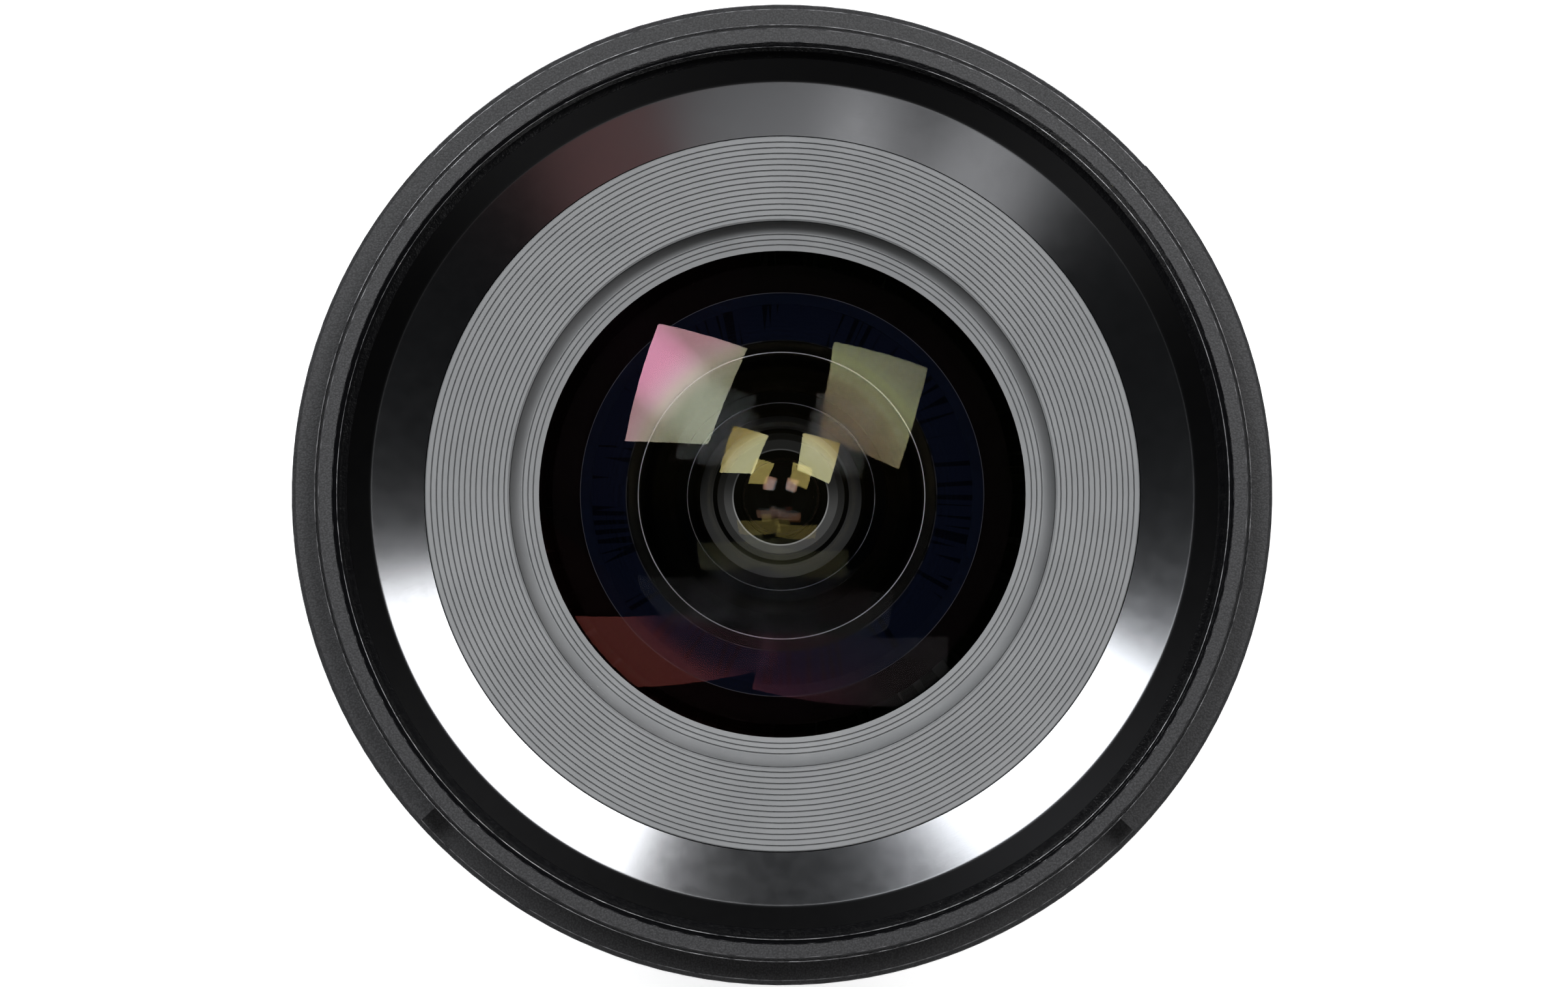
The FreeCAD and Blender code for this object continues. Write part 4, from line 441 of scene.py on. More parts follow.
# Fixed and moving barrels inside. Frame, guide, cam barrel, lens tubes and cells are turned from
# aluminium, milled with their slots and anodised black.
anodised_black, tree, shader = material("anodised_black", (0.022, 0.022, 0.025), 0.46, 0.35)
rings = lathe_marks(tree, 7000.0)
patches = noise(tree, 220.0, 3.0)
blend_colours(tree, shader, patches, (0.016, 0.016, 0.018), (0.03, 0.03, 0.034))
vary_rough(tree, shader, patches, 0.38, 0.56)
bump(tree, shader, rings, 0.3, 0.00002)
dress(anodised_black, "barrel_frame", "guide_barrel", "cam_barrel", "front_tube",
      "focus_stop_ring", "focus_cam_ring", "rear_tube", "rear_cell", "rear_retaining_ring",
      "diaphragm_base")
dress(screw_steel, "guide_screws", "front_screws", "focus_pins", "zoom_key", "aperture_motor",
      "focus_fork")
roller_brass = turned_metal("roller_brass", (0.72, 0.52, 0.24), 0.3, 9000.0)
dress(roller_brass, "front_rollers", "rear_rollers", "motor_stator")
rotor_steel = turned_metal("rotor_steel", (0.5, 0.5, 0.51), 0.28, 9000.0)
dress(rotor_steel, "motor_rotor")

# Zoom ring. Its rubber is moulded as one sleeve with a plain band at each end and a row of pads
# with two fine grooves each, and is stretched over the ring. The focal lengths are printed in
# white on the ring's front band.
ZOOM_SEAT_R, ZOOM_RUBBER_R = 0.03602, 0.03818
ZOOM_LOW, ZOOM_HIGH = 0.01702, 0.03598
ZOOM_PADS, ZOOM_GAP, ZOOM_DEEP, ZOOM_BAND = 48, 0.0016, 0.0009, 0.0016
RUBBER_DARK, RUBBER_PALE = (0.014, 0.014, 0.015), (0.034, 0.034, 0.035)


def rubber(name):
    """Black moulded rubber with a fine bloom and dust in its low places."""
    made, tree, shader = material(name, RUBBER_DARK, 0.62)
    bloom = noise(tree, 700.0, 5.0, 0.65)
    grain = noise(tree, 9000.0, 2.0)
    blend_colours(tree, shader, bloom, RUBBER_DARK, RUBBER_PALE)
    vary_rough(tree, shader, bloom, 0.52, 0.78)
    bump(tree, shader, grain, 0.3, 0.00002)
    shader.inputs["Sheen Weight"].default_value = 0.12
    shader.inputs["Sheen Roughness"].default_value = 0.4
    return made


def circle(shape, r, z, rounds):
    """The points of a circle about the axis."""
    return [
        shape.verts.new((r * cos(2 * pi * i / rounds), r * sin(2 * pi * i / rounds), z))
        for i in range(rounds)
    ]


def ring_mesh(shape, profile, rounds=192):
    """Turns a closed profile of (radius, height) points about the axis."""
    rings = [circle(shape, r, z, rounds) for r, z in profile]
    skin(shape, rings + rings[:1])


def pad_tree():
    """Geometry Nodes that set pads evenly round a barrel, the first half a step from X."""
    tree = bpy.data.node_groups.new("pads_round_a_barrel", "GeometryNodeTree")
    face = tree.interface
    face.new_socket("Geometry", in_out="INPUT", socket_type="NodeSocketGeometry")
    for name, kind in (("Count", "NodeSocketInt"), ("Radius", "NodeSocketFloat"),
                       ("Middle Height", "NodeSocketFloat"), ("First Angle", "NodeSocketFloat"),
                       ("Pad Width", "NodeSocketFloat"), ("Pad Length", "NodeSocketFloat"),
                       ("Pad Depth", "NodeSocketFloat"), ("Material", "NodeSocketMaterial")):
        face.new_socket(name, in_out="INPUT", socket_type=kind)
    face.new_socket("Geometry", in_out="OUTPUT", socket_type="NodeSocketGeometry")
    new, link = tree.nodes.new, tree.links.new
    start, end = new("NodeGroupInput"), new("NodeGroupOutput")
    places = new("GeometryNodeMeshCircle")
    link(start.outputs["Count"], places.inputs["Vertices"])
    link(start.outputs["Radius"], places.inputs["Radius"])
    lift, first = new("ShaderNodeCombineXYZ"), new("ShaderNodeCombineXYZ")
    link(start.outputs["Middle Height"], lift.inputs["Z"])
    link(start.outputs["First Angle"], first.inputs["Z"])
    move = new("GeometryNodeTransform")
    link(places.outputs["Mesh"], move.inputs["Geometry"])
    link(lift.outputs["Vector"], move.inputs["Translation"])
    link(first.outputs["Vector"], move.inputs["Rotation"])
    size = new("ShaderNodeCombineXYZ")
    for axis, name in (("X", "Pad Depth"), ("Y", "Pad Width"), ("Z", "Pad Length")):
        link(start.outputs[name], size.inputs[axis])
    stretch = new("GeometryNodeTransform")
    link(start.outputs["Geometry"], stretch.inputs["Geometry"])
    link(size.outputs["Vector"], stretch.inputs["Scale"])
    position = new("GeometryNodeInputPosition")
    apart = new("ShaderNodeSeparateXYZ")
    link(position.outputs["Position"], apart.inputs["Vector"])
    angle = new("ShaderNodeMath")
    angle.operation = "ARCTAN2"
    link(apart.outputs["Y"], angle.inputs[0])
    link(apart.outputs["X"], angle.inputs[1])
    turn = new("ShaderNodeCombineXYZ")
    link(angle.outputs["Value"], turn.inputs["Z"])
    spread = new("GeometryNodeInstanceOnPoints")
    link(move.outputs["Geometry"], spread.inputs["Points"])
    link(stretch.outputs["Geometry"], spread.inputs["Instance"])
    link(turn.outputs["Vector"], spread.inputs["Rotation"])
    real = new("GeometryNodeRealizeInstances")
    link(spread.outputs["Instances"], real.inputs["Geometry"])
    paint = new("GeometryNodeSetMaterial")
    link(real.outputs["Geometry"], paint.inputs["Geometry"])
    link(start.outputs["Material"], paint.inputs["Material"])
    link(paint.outputs["Geometry"], end.inputs["Geometry"])
    return tree


# One pad across its width, as (outwards, sideways) from its middle, with two fine grooves.
PAD_SHAPE = ((-0.5, -0.5), (0.25, -0.5), (0.5, -0.45), (0.5, -0.21), (0.1, -0.17), (0.5, -0.13),
             (0.5, 0.13), (0.1, 0.17), (0.5, 0.21), (0.5, 0.45), (0.25, 0.5), (-0.5, 0.5))


def unit_pad():
    """A pad one unit long each way, with rounded ends."""
    shape = bmesh.new()
    levels = [
        [shape.verts.new((min(x, reach), y, z)) for x, y in PAD_SHAPE]
        for z, reach in ((-0.5, 0.1), (-0.48, 0.5), (0.48, 0.5), (0.5, 0.1))
    ]
    skin(shape, levels)
    for level in (levels[0], levels[-1]):
        shape.faces.new(level)
    return from_bmesh("unit_pad", shape, sharp=25.0)


PAD_TREE = pad_tree()
PAD = unit_pad()


def pads(name, count, radius, middle, wide, long, deep, made):
    """A plain mesh of pads round a barrel."""
    source = bpy.data.objects.new(name, PAD.copy())
    bpy.context.scene.collection.objects.link(source)
    change = source.modifiers.new("pads", "NODES")
    change.node_group = PAD_TREE
    values = {"Count": count, "Radius": radius, "Middle Height": middle,
              "First Angle": pi / count, "Pad Width": wide, "Pad Length": long,
              "Pad Depth": deep, "Material": made}
    for item in PAD_TREE.interface.items_tree:
        if item.in_out == "INPUT" and item.name in values:
            change[item.identifier] = values[item.name]
    shown = source.evaluated_get(bpy.context.evaluated_depsgraph_get())
    mesh = bpy.data.meshes.new_from_object(shown)
    bpy.data.objects.remove(source)
    return mesh


def joined(name, *meshes):
    """One mesh out of several."""
    shape = bmesh.new()
    for mesh in meshes:
        shape.from_mesh(mesh)
    whole = bpy.data.meshes.new(name)
    shape.to_mesh(whole)
    shape.free()
    return whole


def rubber_sleeve(name, seat, outer, low, high, count, gap, deep, band, made):
    """A sleeve with a plain band at each end and pads between them."""
    edge, root, sunk, lap = 0.0003, 0.0003, 0.00003, 0.0001
    floor, thick = outer - deep, deep + root
    sleeve = bmesh.new()
    ring_mesh(sleeve, [
        (seat, low), (outer - edge, low), (outer, low + edge), (outer, low + band),
        (floor, low + band), (floor, high - band), (outer, high - band), (outer, high - edge),
        (outer - edge, high), (seat, high),
    ])
    wide = 2 * pi * outer / count - gap
    long = high - low - 2 * band + lap
    row = pads(name, count, outer - thick / 2 - sunk, (low + high) / 2, wide, long, thick, made)
    return joined(name, from_bmesh("sleeve", sleeve), row)


zoom_rubber = rubber("zoom_rubber")
piece("zoom_rubber_sleeve",
      rubber_sleeve("zoom_rubber_sleeve", ZOOM_SEAT_R, ZOOM_RUBBER_R, ZOOM_LOW, ZOOM_HIGH,
                    ZOOM_PADS, ZOOM_GAP, ZOOM_DEEP, ZOOM_BAND, zoom_rubber),
      zoom_rubber, "zoom_drive", "zoom_grip", slot="rubber")


print_white, tree, shader = material("print_white", (0.74, 0.74, 0.72), 0.5)
blend_colours(tree, shader, noise(tree, 1500.0), (0.66, 0.66, 0.64), (0.8, 0.8, 0.78))
bump(tree, shader, noise(tree, 8000.0), 0.1, 0.00001)


def printed(name, words, at_r, body, high):
    """Prints short words of that height round a barrel. Each is (text, angle, its middle's z)."""
    whole = bmesh.new()
    for text, angle, z in words:
        curve = bpy.data.curves.new(name, "FONT")
        curve.body = text
        curve.size = high
        curve.align_x, curve.align_y = "CENTER", "CENTER"
        curve.resolution_u = 3
        flat = bpy.data.objects.new(name, curve)
        bpy.context.scene.collection.objects.link(flat)
        bpy.context.view_layer.update()
        mesh = bpy.data.meshes.new_from_object(flat)
        bpy.data.objects.remove(flat)
        part = bmesh.new()
        part.from_mesh(mesh)
        bmesh.ops.subdivide_edges(
            part, edges=[e for e in part.edges if e.calc_length() > high * 0.25], cuts=2)
        bmesh.ops.triangulate(part, faces=part.faces)
        out = Vector((cos(radians(angle)), sin(radians(angle)), 0))
        for vert in part.verts:
            a = radians(angle) + vert.co.x / at_r
            vert.co = Vector((at_r * cos(a), at_r * sin(a), z + vert.co.y))
        for face in part.faces:
            if face.normal.dot(out) < 0:
                face.normal_flip()
        bent = bpy.data.meshes.new(name)
        part.to_mesh(bent)
        part.free()
        whole.from_mesh(bent)
    mesh = bpy.data.meshes.new(name)
    whole.to_mesh(mesh)
    whole.free()
    piece(name, mesh, print_white, body)


FOCAL_LENGTHS = (("10", 90.0), ("12", 75.0), ("14", 62.0), ("18", 46.0), ("22", 30.0))
printed("focal_lengths", [(text, angle, 0.0388) for text, angle in FOCAL_LENGTHS], at_r=0.038715,
        body="zoom_drive", high=0.0031)

# Front group. The front glass is a large meniscus, and each surface carries its own coating
# against reflections, so the soft boxes show in it as small tinted squares. The ground rims are
# painted black, and dark blue in some zones; these blue zones and a dull grey bevel also glow
# with painted light. The other narrow bevels are left pale.
GLASS_ONE = dict(z=0.0773, thick=0.0024, front=0.050, back=0.0235, rim=0.0224, clear=0.016)
GLASS_TWO = dict(z=0.0696, thick=0.0015, front=0.060, back=0.019, rim=0.0172, clear=0.013)
GLASS_THREE = dict(z=0.06096, thick=0.0013, front=-0.090, back=0.028, rim=0.0138, clear=0.012)
FACE_STEPS, LENS_ROUNDS = 14, 240


def rim_paint(name, colour, glow=0.0, shine=0.0):
    """Paint on a ground rim. glow is painted light that stands in for light inside the glass."""
    made, tree, shader = material(name, colour, 0.7)
    grain = noise(tree, 4000.0, 2.0)
    vary_rough(tree, shader, grain, 0.6, 0.78)
    bump(tree, shader, grain, 0.12, 0.00001)
    shader.inputs["Specular IOR Level"].default_value = shine
    shader.inputs["Emission Color"].default_value = (*colour, 1)
    shader.inputs["Emission Strength"].default_value = glow
    return made


edge_black = rim_paint("edge_black", (0.0022, 0.0015, 0.0015))
# edge_blue, rim_blue and dull_bevel glow: painted light inside the glass.
edge_blue = rim_paint("edge_blue", (0.0022, 0.0032, 0.0080), 0.9)
rim_blue = rim_paint("rim_blue", (0.0012, 0.0018, 0.0042), 0.6)
dull_bevel = rim_paint("dull_bevel", (0.030, 0.030, 0.036), 0.4)
ground_bevel = rim_paint("ground_bevel", (0.62, 0.60, 0.66), 0.0, 0.3)
dress(rim_paint("cell_black", (0.004, 0.0038, 0.0038)), "front_cell")


def coated_glass(name, tint, index=1.6):
    """Clear glass under a coating that tints and dims what its surface mirrors."""
    made, tree, shader = material(name, (1, 1, 1), 0.0)
    shader.inputs["Transmission Weight"].default_value = 1.0
    shader.inputs["IOR"].default_value = index
    shader.inputs["Specular Tint"].default_value = (*tint, 1)
    return made


def face_points(z, radius, reach):
    """Points of a round surface from the axis outwards. A negative radius curves forwards."""
    points = []
    for i in range(FACE_STEPS + 1):
        r = reach * sin(pi / 2 * i / FACE_STEPS)
        fall = abs(radius) - sqrt(radius * radius - r * r)
        points.append((r, z - fall if radius > 0 else z + fall))
    return points


def lens_mesh(name, coatings, z, thick, front, back, rim, clear, zones=()):
    """A closed lens. coatings are those of its front and its back. Its ground rims are black,
    but a zone (inner radius, outer radius, paint) of the hollow back's flat rim has its own."""
    ahead = face_points(z, front, rim if front > 0 else clear)
    behind = face_points(z - thick, back, clear if back > 0 else rim)
    paints = [coatings[0], coatings[-1], edge_black]
    looks = [0] * (len(ahead) - 1)
    profile = list(ahead)
    if front < 0:
        profile.append((rim, ahead[-1][1]))
        looks.append(2)
    if back > 0:
        profile.append((rim, behind[-1][1]))
        looks.append(2)
        for inner, outer, paint in sorted(zones, key=lambda zone: -zone[1]):
            if outer < profile[-1][0] - NEAR:
                profile.append((outer, behind[-1][1]))
                looks.append(2)
            paints.append(paint)
            profile.append((inner, behind[-1][1]))
            looks.append(len(paints) - 1)
        if profile[-1][0] < clear + NEAR:
            profile.pop()
        else:
            looks.append(2)
    else:
        looks.append(2)
    profile += behind[::-1]
    looks += [1] * (len(behind) - 1)
    shape = bmesh.new()
    rings = []
    for r, height in profile:
        if r < NEAR:
            rings.append([shape.verts.new((0, 0, height))] * LENS_ROUNDS)
        else:
            rings.append(circle(shape, r, height, LENS_ROUNDS))
    for look, low, high in zip(looks, rings, rings[1:]):
        for i in range(LENS_ROUNDS):
            j = (i + 1) % LENS_ROUNDS
            corners = [low[i], low[j], high[j], high[i]]
            corners = [v for n, v in enumerate(corners) if v not in corners[:n]]
            if len(corners) > 2:
                shape.faces.new(corners).material_index = look
    mesh = from_bmesh(name, shape, sharp=30.0)
    for paint in paints:
        mesh.materials.append(paint)
    return mesh


def graded(tree, value, start, end, low, high):
    """A value that runs smoothly from low to high as the first one goes from start to end."""
    change = add(tree, "MapRange", interpolation_type="SMOOTHSTEP", From_Min=start, From_Max=end,
                 To_Min=low, To_Max=high)
    tree.links.new(value, change.inputs["Value"])
    return change.outputs["Result"]


def stops(tree, value, low, high, colours):
    """A colour that runs through the given ones as the value goes from low to high."""
    ramp = add(tree, "ValToRGB")
    band = ramp.color_ramp
    while len(band.elements) < len(colours):
        band.elements.new(0.5)
    for k, colour in enumerate(colours):
        band.elements[k].position = k / (len(colours) - 1)
        band.elements[k].color = (*colour, 1)
    tree.links.new(graded(tree, value, low, high, 0.0, 1.0), ramp.inputs["Fac"])
    return ramp.outputs["Color"]


# The front coating is not even. On one side it mirrors rose far out and pale green nearer the
# middle, on the other side olive, and along the steep lower edge a deep red. The lamps' outlines
# in it lie askew, and the red band is bowed.
ROSE, BLUSH, PALE, MOSS, OLIVE = ((0.95, 0.39, 0.56), (0.92, 0.53, 0.62), (0.80, 0.65, 0.57),
                                  (0.40, 0.42, 0.30), (0.25, 0.265, 0.135))
UMBER, BROWN, DULL, CLEAR = ((0.20, 0.175, 0.10), (0.115, 0.085, 0.048), (0.15, 0.15, 0.09),
                             (0.05, 0.05, 0.055))
WINE, SLATE, RUST, PLUM = ((0.12, 0.055, 0.078), (0.078, 0.072, 0.075), (0.54, 0.13, 0.11),
                           (0.27, 0.088, 0.125))
AMBERS = ((0.85, 0.82, 0.45), (0.85, 0.74, 0.36), (0.45, 0.33, 0.07))
AMBER_LOW = (0.13, 0.125, 0.06)
LAMPS_LOW = (0.0010, -0.0030)
ASKEW_FULL, ASKEW_MOST = 0.000028, 0.6
BAND_BOW, BAND_TOP = 24.0, (-0.0119, -0.0125)
BAND_LEFT, BAND_RIGHT = -0.0110, 0.0110
front_coating = coated_glass("front_coating", OLIVE, 1.5)
tree = front_coating.node_tree
across, upward, _ = own_axes(tree)
far, _ = off_axis(tree)
askew = maths(tree, "ADD", across, upward)
askew = graded(tree, maths(tree, "MULTIPLY", askew, askew), 0.0, ASKEW_FULL, 0.0, ASKEW_MOST)
rosy = mixed(tree, askew, stops(tree, far, 0.0110, 0.0158, (MOSS, PALE, BLUSH, ROSE)), UMBER)
over = mixed(tree, graded(tree, across, -0.0046, -0.0020, 0.0, 1.0), rosy,
             stops(tree, far, 0.0070, 0.0160, (BROWN, UMBER, OLIVE, DULL)))
under = mixed(tree, graded(tree, far, 0.0150, 0.0175, 0.0, 1.0),
              stops(tree, across, BAND_LEFT, BAND_RIGHT, (WINE, WINE, SLATE)),
              stops(tree, across, BAND_LEFT, BAND_RIGHT, (RUST, PLUM, SLATE)))
bow = maths(tree, "SUBTRACT", upward,
            maths(tree, "MULTIPLY", maths(tree, "MULTIPLY", across, across), BAND_BOW))
tint = mixed(tree, graded(tree, upward, *LAMPS_LOW, 0.0, 1.0), over, CLEAR)
tint = mixed(tree, graded(tree, bow, *BAND_TOP, 0.0, 1.0), tint, under)
tree.links.new(tint, tree.nodes["Principled BSDF"].inputs["Specular Tint"])

amber_coating = coated_glass("amber_coating", (0.88, 0.82, 0.42), 1.5)
tree = amber_coating.node_tree
_, upward, _ = own_axes(tree)
far, _ = off_axis(tree)
tint = mixed(tree, graded(tree, upward, *LAMPS_LOW, 0.0, 1.0),
             stops(tree, far, 0.0044, 0.0062, AMBERS), AMBER_LOW)
tree.links.new(tint, tree.nodes["Principled BSDF"].inputs["Specular Tint"])
piece("front_glass",
      lens_mesh("front_glass", (front_coating, amber_coating), **GLASS_ONE,
                zones=((0.0160, 0.01697, rim_blue), (0.01697, 0.01702, dull_bevel))),
      front_coating, "front_group", "lens_one", slot="front_glass")
clear_two = coated_glass("clear_two", (0.02, 0.02, 0.02), 1.7)
back_two = coated_glass("back_two", (0.30, 0.24, 0.07), 1.7)
piece("second_glass",
      lens_mesh("second_glass", (clear_two, back_two), **GLASS_TWO,
                zones=((0.0130, 0.01308, ground_bevel), (0.01405, 0.01415, dull_bevel),
                       (0.01415, 0.0172, edge_blue))),
      clear_two, "front_group", "lens_two", slot="glass")
clear_three = coated_glass("clear_three", (0.02, 0.02, 0.02), 1.65)
back_three = coated_glass("back_three", (0.32, 0.17, 0.11), 1.65)
piece("third_glass",
      lens_mesh("third_glass", (clear_three, back_three), **GLASS_THREE,
                zones=((0.0120, 0.0121, ground_bevel),)),
      clear_three, "front_group", "lens_three", slot="glass")

# Baffle ring and retaining ring. Both are moulded in dark grey plastic. The flat ring has fine
# turned ribs that break up stray light, and the other one, with a hollow cove and three grooves,
# screws down on the front glass. Its cove is darkened with painted shade, more so towards the
# top.
COVE_IN, COVE_OUT, COVE_PAINTED_SHADE = 0.0225, 0.0232, (0.008, 0.008, 0.008)
baffle_grey, tree, shader = material("baffle_grey", (0.168, 0.172, 0.176), 0.6)
grain = noise(tree, 6500.0, 2.0)
blend_colours(tree, shader, noise(tree, 260.0, 4.0), (0.156, 0.160, 0.164), (0.178, 0.182, 0.186))
vary_rough(tree, shader, grain, 0.52, 0.72)
bump(tree, shader, grain, 0.2, 0.00002)
dress(baffle_grey, "baffle_ring")
retaining_grey = baffle_grey.copy()
retaining_grey.name = "retaining_grey"
tree = retaining_grey.node_tree
shader = tree.nodes["Principled BSDF"]
_, upward, _ = own_axes(tree)
far, _ = off_axis(tree)
# Painted shade: the cove's colour runs towards near black, the more so towards the top.
sunk = maths(tree, "ADD", graded(tree, upward, -0.016, 0.006, 0.0, 0.35),
             graded(tree, upward, 0.014, 0.026, 0.0, 0.60))
sunk = maths(tree, "MULTIPLY", sunk, graded(tree, far, COVE_IN, COVE_OUT, 0.0, 1.0))
paint = shader.inputs["Base Color"].links[0].from_socket
tree.links.new(mixed(tree, sunk, paint, COVE_PAINTED_SHADE), shader.inputs["Base Color"])
dress(retaining_grey, "retaining_ring")

# Focus ring, its rubber and the distance scale. The rubber has a row of short pads, and the
# scale is a printed aluminium drum that turns with the ring behind the window.
FOCUS_SEAT_R, FOCUS_RUBBER_R = 0.04042, 0.04198
FOCUS_LOW, FOCUS_HIGH = 0.05842, 0.06838
FOCUS_PADS, FOCUS_GAP, FOCUS_DEEP, FOCUS_BAND = 56, 0.0015, 0.0007, 0.0010
focus_rubber = rubber("focus_rubber")
piece("focus_rubber_sleeve",
      rubber_sleeve("focus_rubber_sleeve", FOCUS_SEAT_R, FOCUS_RUBBER_R, FOCUS_LOW, FOCUS_HIGH,
                    FOCUS_PADS, FOCUS_GAP, FOCUS_DEEP, FOCUS_BAND, focus_rubber),
      focus_rubber, "focus_drive", "focus_grip", slot="rubber")

made, tree, shader = material("drum_black", (0.012, 0.012, 0.013), 0.45)
vary_rough(tree, shader, noise(tree, 900.0), 0.38, 0.55)
bump(tree, shader, noise(tree, 6000.0), 0.12, 0.00001)
dress(made, "distance_scale")
DISTANCES = (("3", 78.0), ("1.5", 66.0), ("1", 55.0), ("0.7", 44.0), ("0.5", 32.0),
             ("0.4", 21.0), ("0.3", 10.0), ("0.24", -1.0))
printed("distance_figures", [(text, angle, 0.0474) for text, angle in DISTANCES], at_r=0.03803,
        body="focus_drive", high=0.0024)

# Pair of the focus group, and the glass of the rear group. The two elements of the pair sit in
# one cell, one against the other.
GLASS_FOUR = dict(z=0.0572, thick=0.0048, front=0.030, back=-0.025, rim=0.0105, clear=0.0105)
GLASS_FIVE = dict(z=0.05238, thick=0.00118, front=-0.025, back=0.060, rim=0.0105, clear=0.0105)
GLASS_SIX = dict(z=0.0310, thick=0.0034, front=0.028, back=0.070, rim=0.0120, clear=0.0113)
GLASS_SEVEN = dict(z=0.0217, thick=0.0047, front=0.024, back=-0.060, rim=0.0110, clear=0.0110)
GLASS_EIGHT = dict(z=0.0104, thick=0.0014, front=-0.018, back=-0.060, rim=0.0110, clear=0.0095)
pair_coating = coated_glass("pair_coating", (0.10, 0.12, 0.13), 1.6)
rear_coating = coated_glass("rear_coating", (0.35, 0.55, 0.45), 1.62)
for name, sizes, coating, body, node in (
        ("fourth_glass", GLASS_FOUR, pair_coating, "focus_group", "lens_four"),
        ("fifth_glass", GLASS_FIVE, pair_coating, "focus_group", "lens_five"),
        ("sixth_glass", GLASS_SIX, rear_coating, "rear_group", "lens_six"),
        ("seventh_glass", GLASS_SEVEN, rear_coating, "rear_group", "lens_seven"),
        ("rear_glass", GLASS_EIGHT, rear_coating, "rear_group", "lens_eight")):
    piece(name, lens_mesh(name, (coating,), **sizes), coating, body, node, slot="glass")

# Focus cell and diaphragm cover. Both are dull black anodised metal, and each glows faintly with
# painted light, more on its lower half, for the light that the front glass gathers. The cover's
# turned lip has a brighter ring of painted glow.
PAINTED_GLOW_HALF, LIP_EDGE, LIP_WIDE, LIP_FADE, LIP_PAINTED_GLOW = 0.0060, 0.0001, 0.0004, 0.0006, 4.0
PAINTED_GLOW_COLOUR = (1.0, 1.0, 0.97, 1)
for name, top, bottom, lip in (("focus_cell", 0.003, 0.022, 0.0),
                               ("diaphragm_cover", 0.012, 0.055, 0.01459)):
    made = anodised_black.copy()
    made.name = f"{name}_black"
    tree = made.node_tree
    shader = tree.nodes["Principled BSDF"]
    _, upward, _ = own_axes(tree)
    far, _ = off_axis(tree)
    # Painted light: the emission is stronger towards the bottom and brightest in a narrow ring by
    # the lip.
    glow = graded(tree, upward, PAINTED_GLOW_HALF, -PAINTED_GLOW_HALF, top, bottom)
    glow = maths(tree, "MULTIPLY", glow, graded(tree, far, lip, lip + LIP_EDGE, 0.0, 1.0))
    glow = maths(tree, "MULTIPLY", glow,
                 graded(tree, far, lip + LIP_FADE, lip + LIP_WIDE, 1.0, LIP_PAINTED_GLOW))
    shader.inputs["Emission Color"].default_value = PAINTED_GLOW_COLOUR
    tree.links.new(glow, shader.inputs["Emission Strength"])
    dress(made, name)

# Diaphragm. The blades are punched from thin blackened steel, and the drive ring and its pinion
# are moulded in white acetal.
made, tree, shader = material("blade_steel", (0.02, 0.02, 0.021), 0.5, 0.6)
vary_rough(tree, shader, noise(tree, 800.0), 0.4, 0.6)
bump(tree, shader, noise(tree, 9000.0), 0.1, 0.00001)
dress(made, *[f"iris_blade_{k}" for k in range(1, 7)])
made, tree, shader = material("acetal", (0.62, 0.61, 0.57), 0.4)
blend_colours(tree, shader, noise(tree, 500.0), (0.56, 0.55, 0.51), (0.66, 0.65, 0.61))
bump(tree, shader, noise(tree, 7000.0), 0.1, 0.00001)
shader.inputs["Subsurface Weight"].default_value = 0.1
dress(made, "aperture_ring", "aperture_pinion")

# Window, switch plate and switch on the scale barrel. The window is clear acrylic glued into the
# barrel, and the switch slides in a moulded plate.
made, tree, shader = material("window_acrylic", (0.97, 0.98, 0.98), 0.02)
shader.inputs["Transmission Weight"].default_value = 1.0
shader.inputs["IOR"].default_value = 1.49
bump(tree, shader, noise(tree, 300.0), 0.02, 0.00002)
dress(made, "scale_window")
dress(moulded_black, "switch_plate")
made, tree, shader = material("switch_grey", (0.09, 0.09, 0.095), 0.38)
grain = noise(tree, 6000.0)
vary_rough(tree, shader, grain, 0.32, 0.5)
bump(tree, shader, grain, 0.15, 0.00001)
dress(made, "focus_switch")
white_mark("zoom_index", z=0.0437, at_r=0.03930, wide=0.00055, high=0.00012)

# Front barrel. It is one turned and milled housing in the same crinkle paint, with the filter
# thread inside the rim and two bayonet lugs for the hood. The paint is thin on the turned edges,
# where the metal shines through as fine lines.
dress(housing_paint, "front_barrel")
white_mark("hood_mark", z=0.0717, at_r=0.04236, wide=0.0008, high=0.0003)
RIM_EDGES = ((0.03850, 0.08094), (0.03812, 0.08058), (0.03960, 0.08094), (0.03998, 0.08058),
             (0.04222, 0.07326), (0.04264, 0.07282))
EDGE_THICK = 0.00005
EDGE_SIDES = 8
edges = bmesh.new()
turns = [2 * pi * k / EDGE_SIDES for k in range(EDGE_SIDES)]
for at_r, at_z in RIM_EDGES:
    ring_mesh(edges, [(at_r + EDGE_THICK * cos(t), at_z + EDGE_THICK * sin(t)) for t in turns],
              256)
made, tree, shader = material("edge_metal", (0.12, 0.12, 0.125), 0.3, 0.8)
wear = noise(tree, 900.0, 4.0, 0.6)
blend_colours(tree, shader, wear, (0.03, 0.03, 0.033), (0.34, 0.34, 0.35), 0.35, 0.7)
vary_rough(tree, shader, wear, 0.25, 0.4)
piece("rim_edges", from_bmesh("rim_edges", edges, sharp=60.0), made, "barrel")

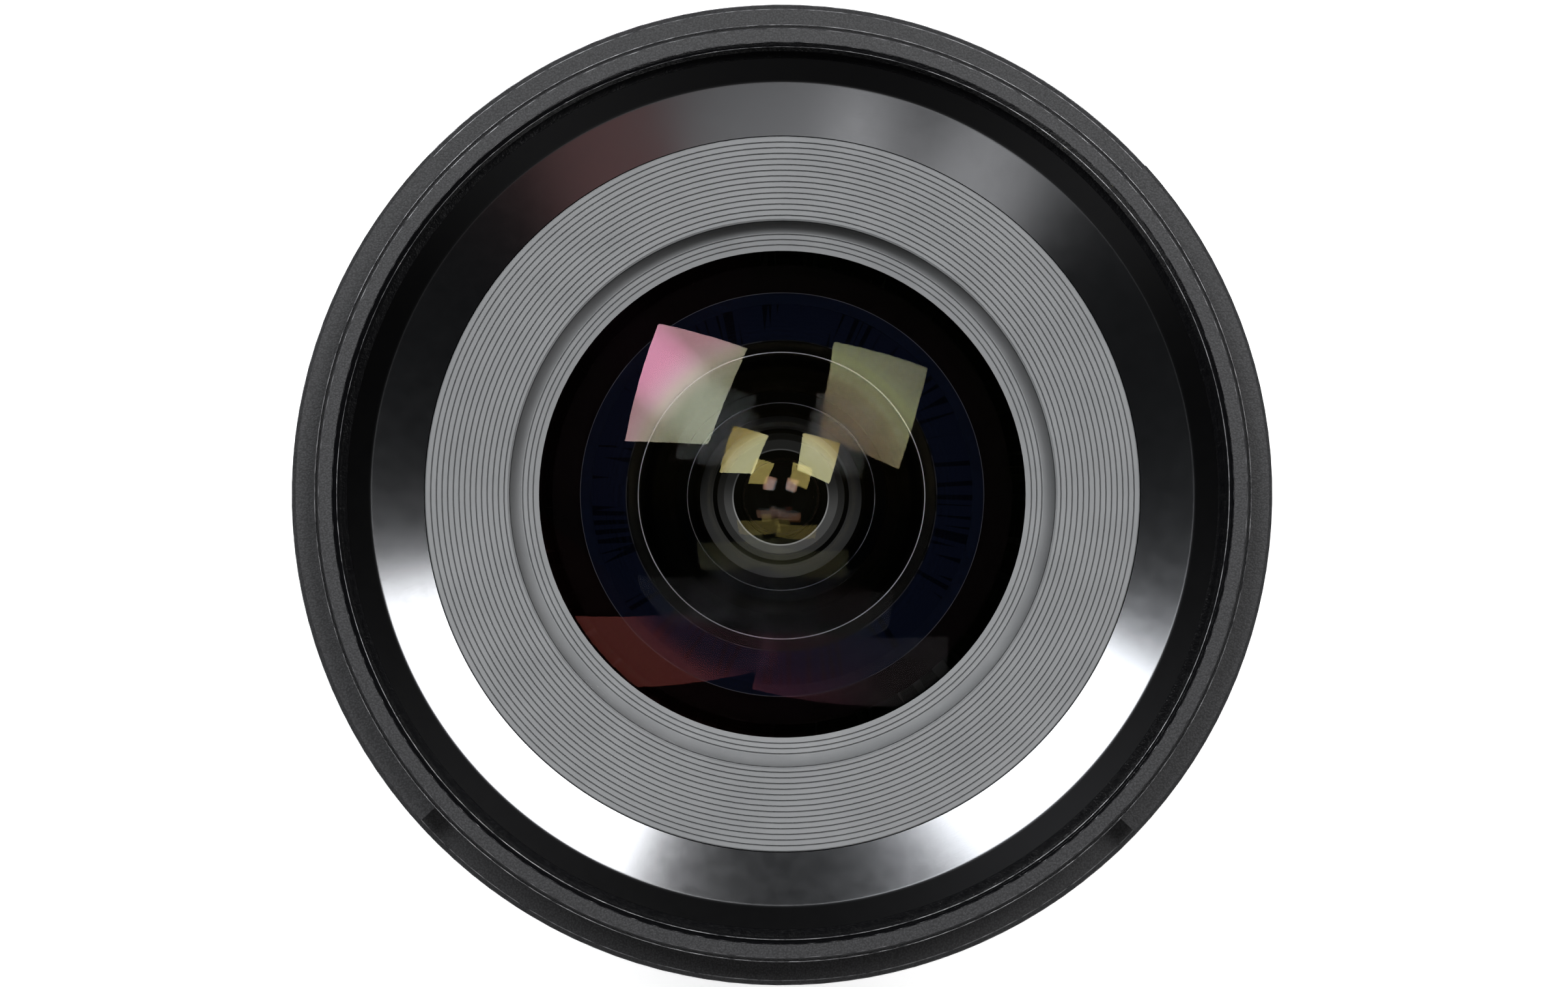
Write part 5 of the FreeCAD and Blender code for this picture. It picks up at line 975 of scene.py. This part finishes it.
# Dish ring. It is turned in aluminium, anodised black and polished, so it mirrors the soft boxes
# in soft-edged beams that run along its slope.
DISH_IN, DISH_OUT, DISH_Z, DISH_SLOPE = 0.03104, 0.0356, 0.075, 16.0
DISH_WALL, DISH_TOP, DISH_LOW, DISH_THICK = 0.03748, 0.0774, 0.0726, 0.0011
DISH_ROUND, DISH_STEPS, DISH_LIP = 0.00012, 4, (0.00005, 0.0000143)
EASE_PAST = 1.4
DISH_COLOUR, FLANGE_COLOUR = (0.115, 0.117, 0.122), (0.012, 0.012, 0.0125)
FLANGE_WIDE, FLANGE_ROUGHER = 0.0002, 0.2
dish_gloss, tree, shader = material("dish_gloss", DISH_COLOUR, 0.14, 1.0)
cloud = noise(tree, 700.0, 5.0, 0.7)
rough = graded(tree, cloud, 0.0, 1.0, 0.12, 0.16)
far, _ = off_axis(tree)
flange = graded(tree, far, DISH_OUT - FLANGE_WIDE, DISH_OUT, 0.0, 1.0)
tree.links.new(mixed(tree, flange, DISH_COLOUR, FLANGE_COLOUR), shader.inputs["Base Color"])
tree.links.new(maths(tree, "ADD", rough, maths(tree, "MULTIPLY", flange, FLANGE_ROUGHER)),
               shader.inputs["Roughness"])
speckle = bump(tree, shader, noise(tree, 5200.0, 2.0), 0.03, 0.00001)
bump(tree, shader, lathe_marks(tree, 14000.0), 0.04, 0.00001, speckle)


def eased(before, corner, after, reach, steps):
    """Points of a small round that takes the corner's place, with one more beside each end."""
    def along(a, b, far):
        step = Vector(b) - Vector(a)
        return Vector(a) + step * (far / step.length)
    start, end = along(corner, before, reach), along(corner, after, reach)
    points = [along(corner, before, reach * EASE_PAST)]
    for k in range(steps + 1):
        t = k / steps
        points.append(start * (1 - t) ** 2 + Vector(corner) * 2 * t * (1 - t) + end * t ** 2)
    points.append(along(corner, after, reach * EASE_PAST))
    return [tuple(point) for point in points]


crease = (DISH_OUT, DISH_Z + (DISH_OUT - DISH_IN) * tan(radians(DISH_SLOPE)))
inner, outer = (DISH_IN, DISH_Z), (DISH_WALL, DISH_TOP)
dish = bmesh.new()
ring_mesh(dish, [
    (DISH_IN, DISH_Z - DISH_THICK), inner, (DISH_IN + DISH_LIP[0], DISH_Z + DISH_LIP[1]),
    *eased(inner, crease, outer, DISH_ROUND, DISH_STEPS), outer, (DISH_WALL, DISH_LOW),
    (DISH_WALL - DISH_THICK, DISH_LOW), (DISH_WALL - DISH_THICK, crease[1] - DISH_THICK),
    (DISH_OUT, crease[1] - DISH_THICK),
], 320)
piece("dish_mirror", from_bmesh("dish_mirror", dish), dish_gloss, "barrel", "dish_ring",
      slot="dish")
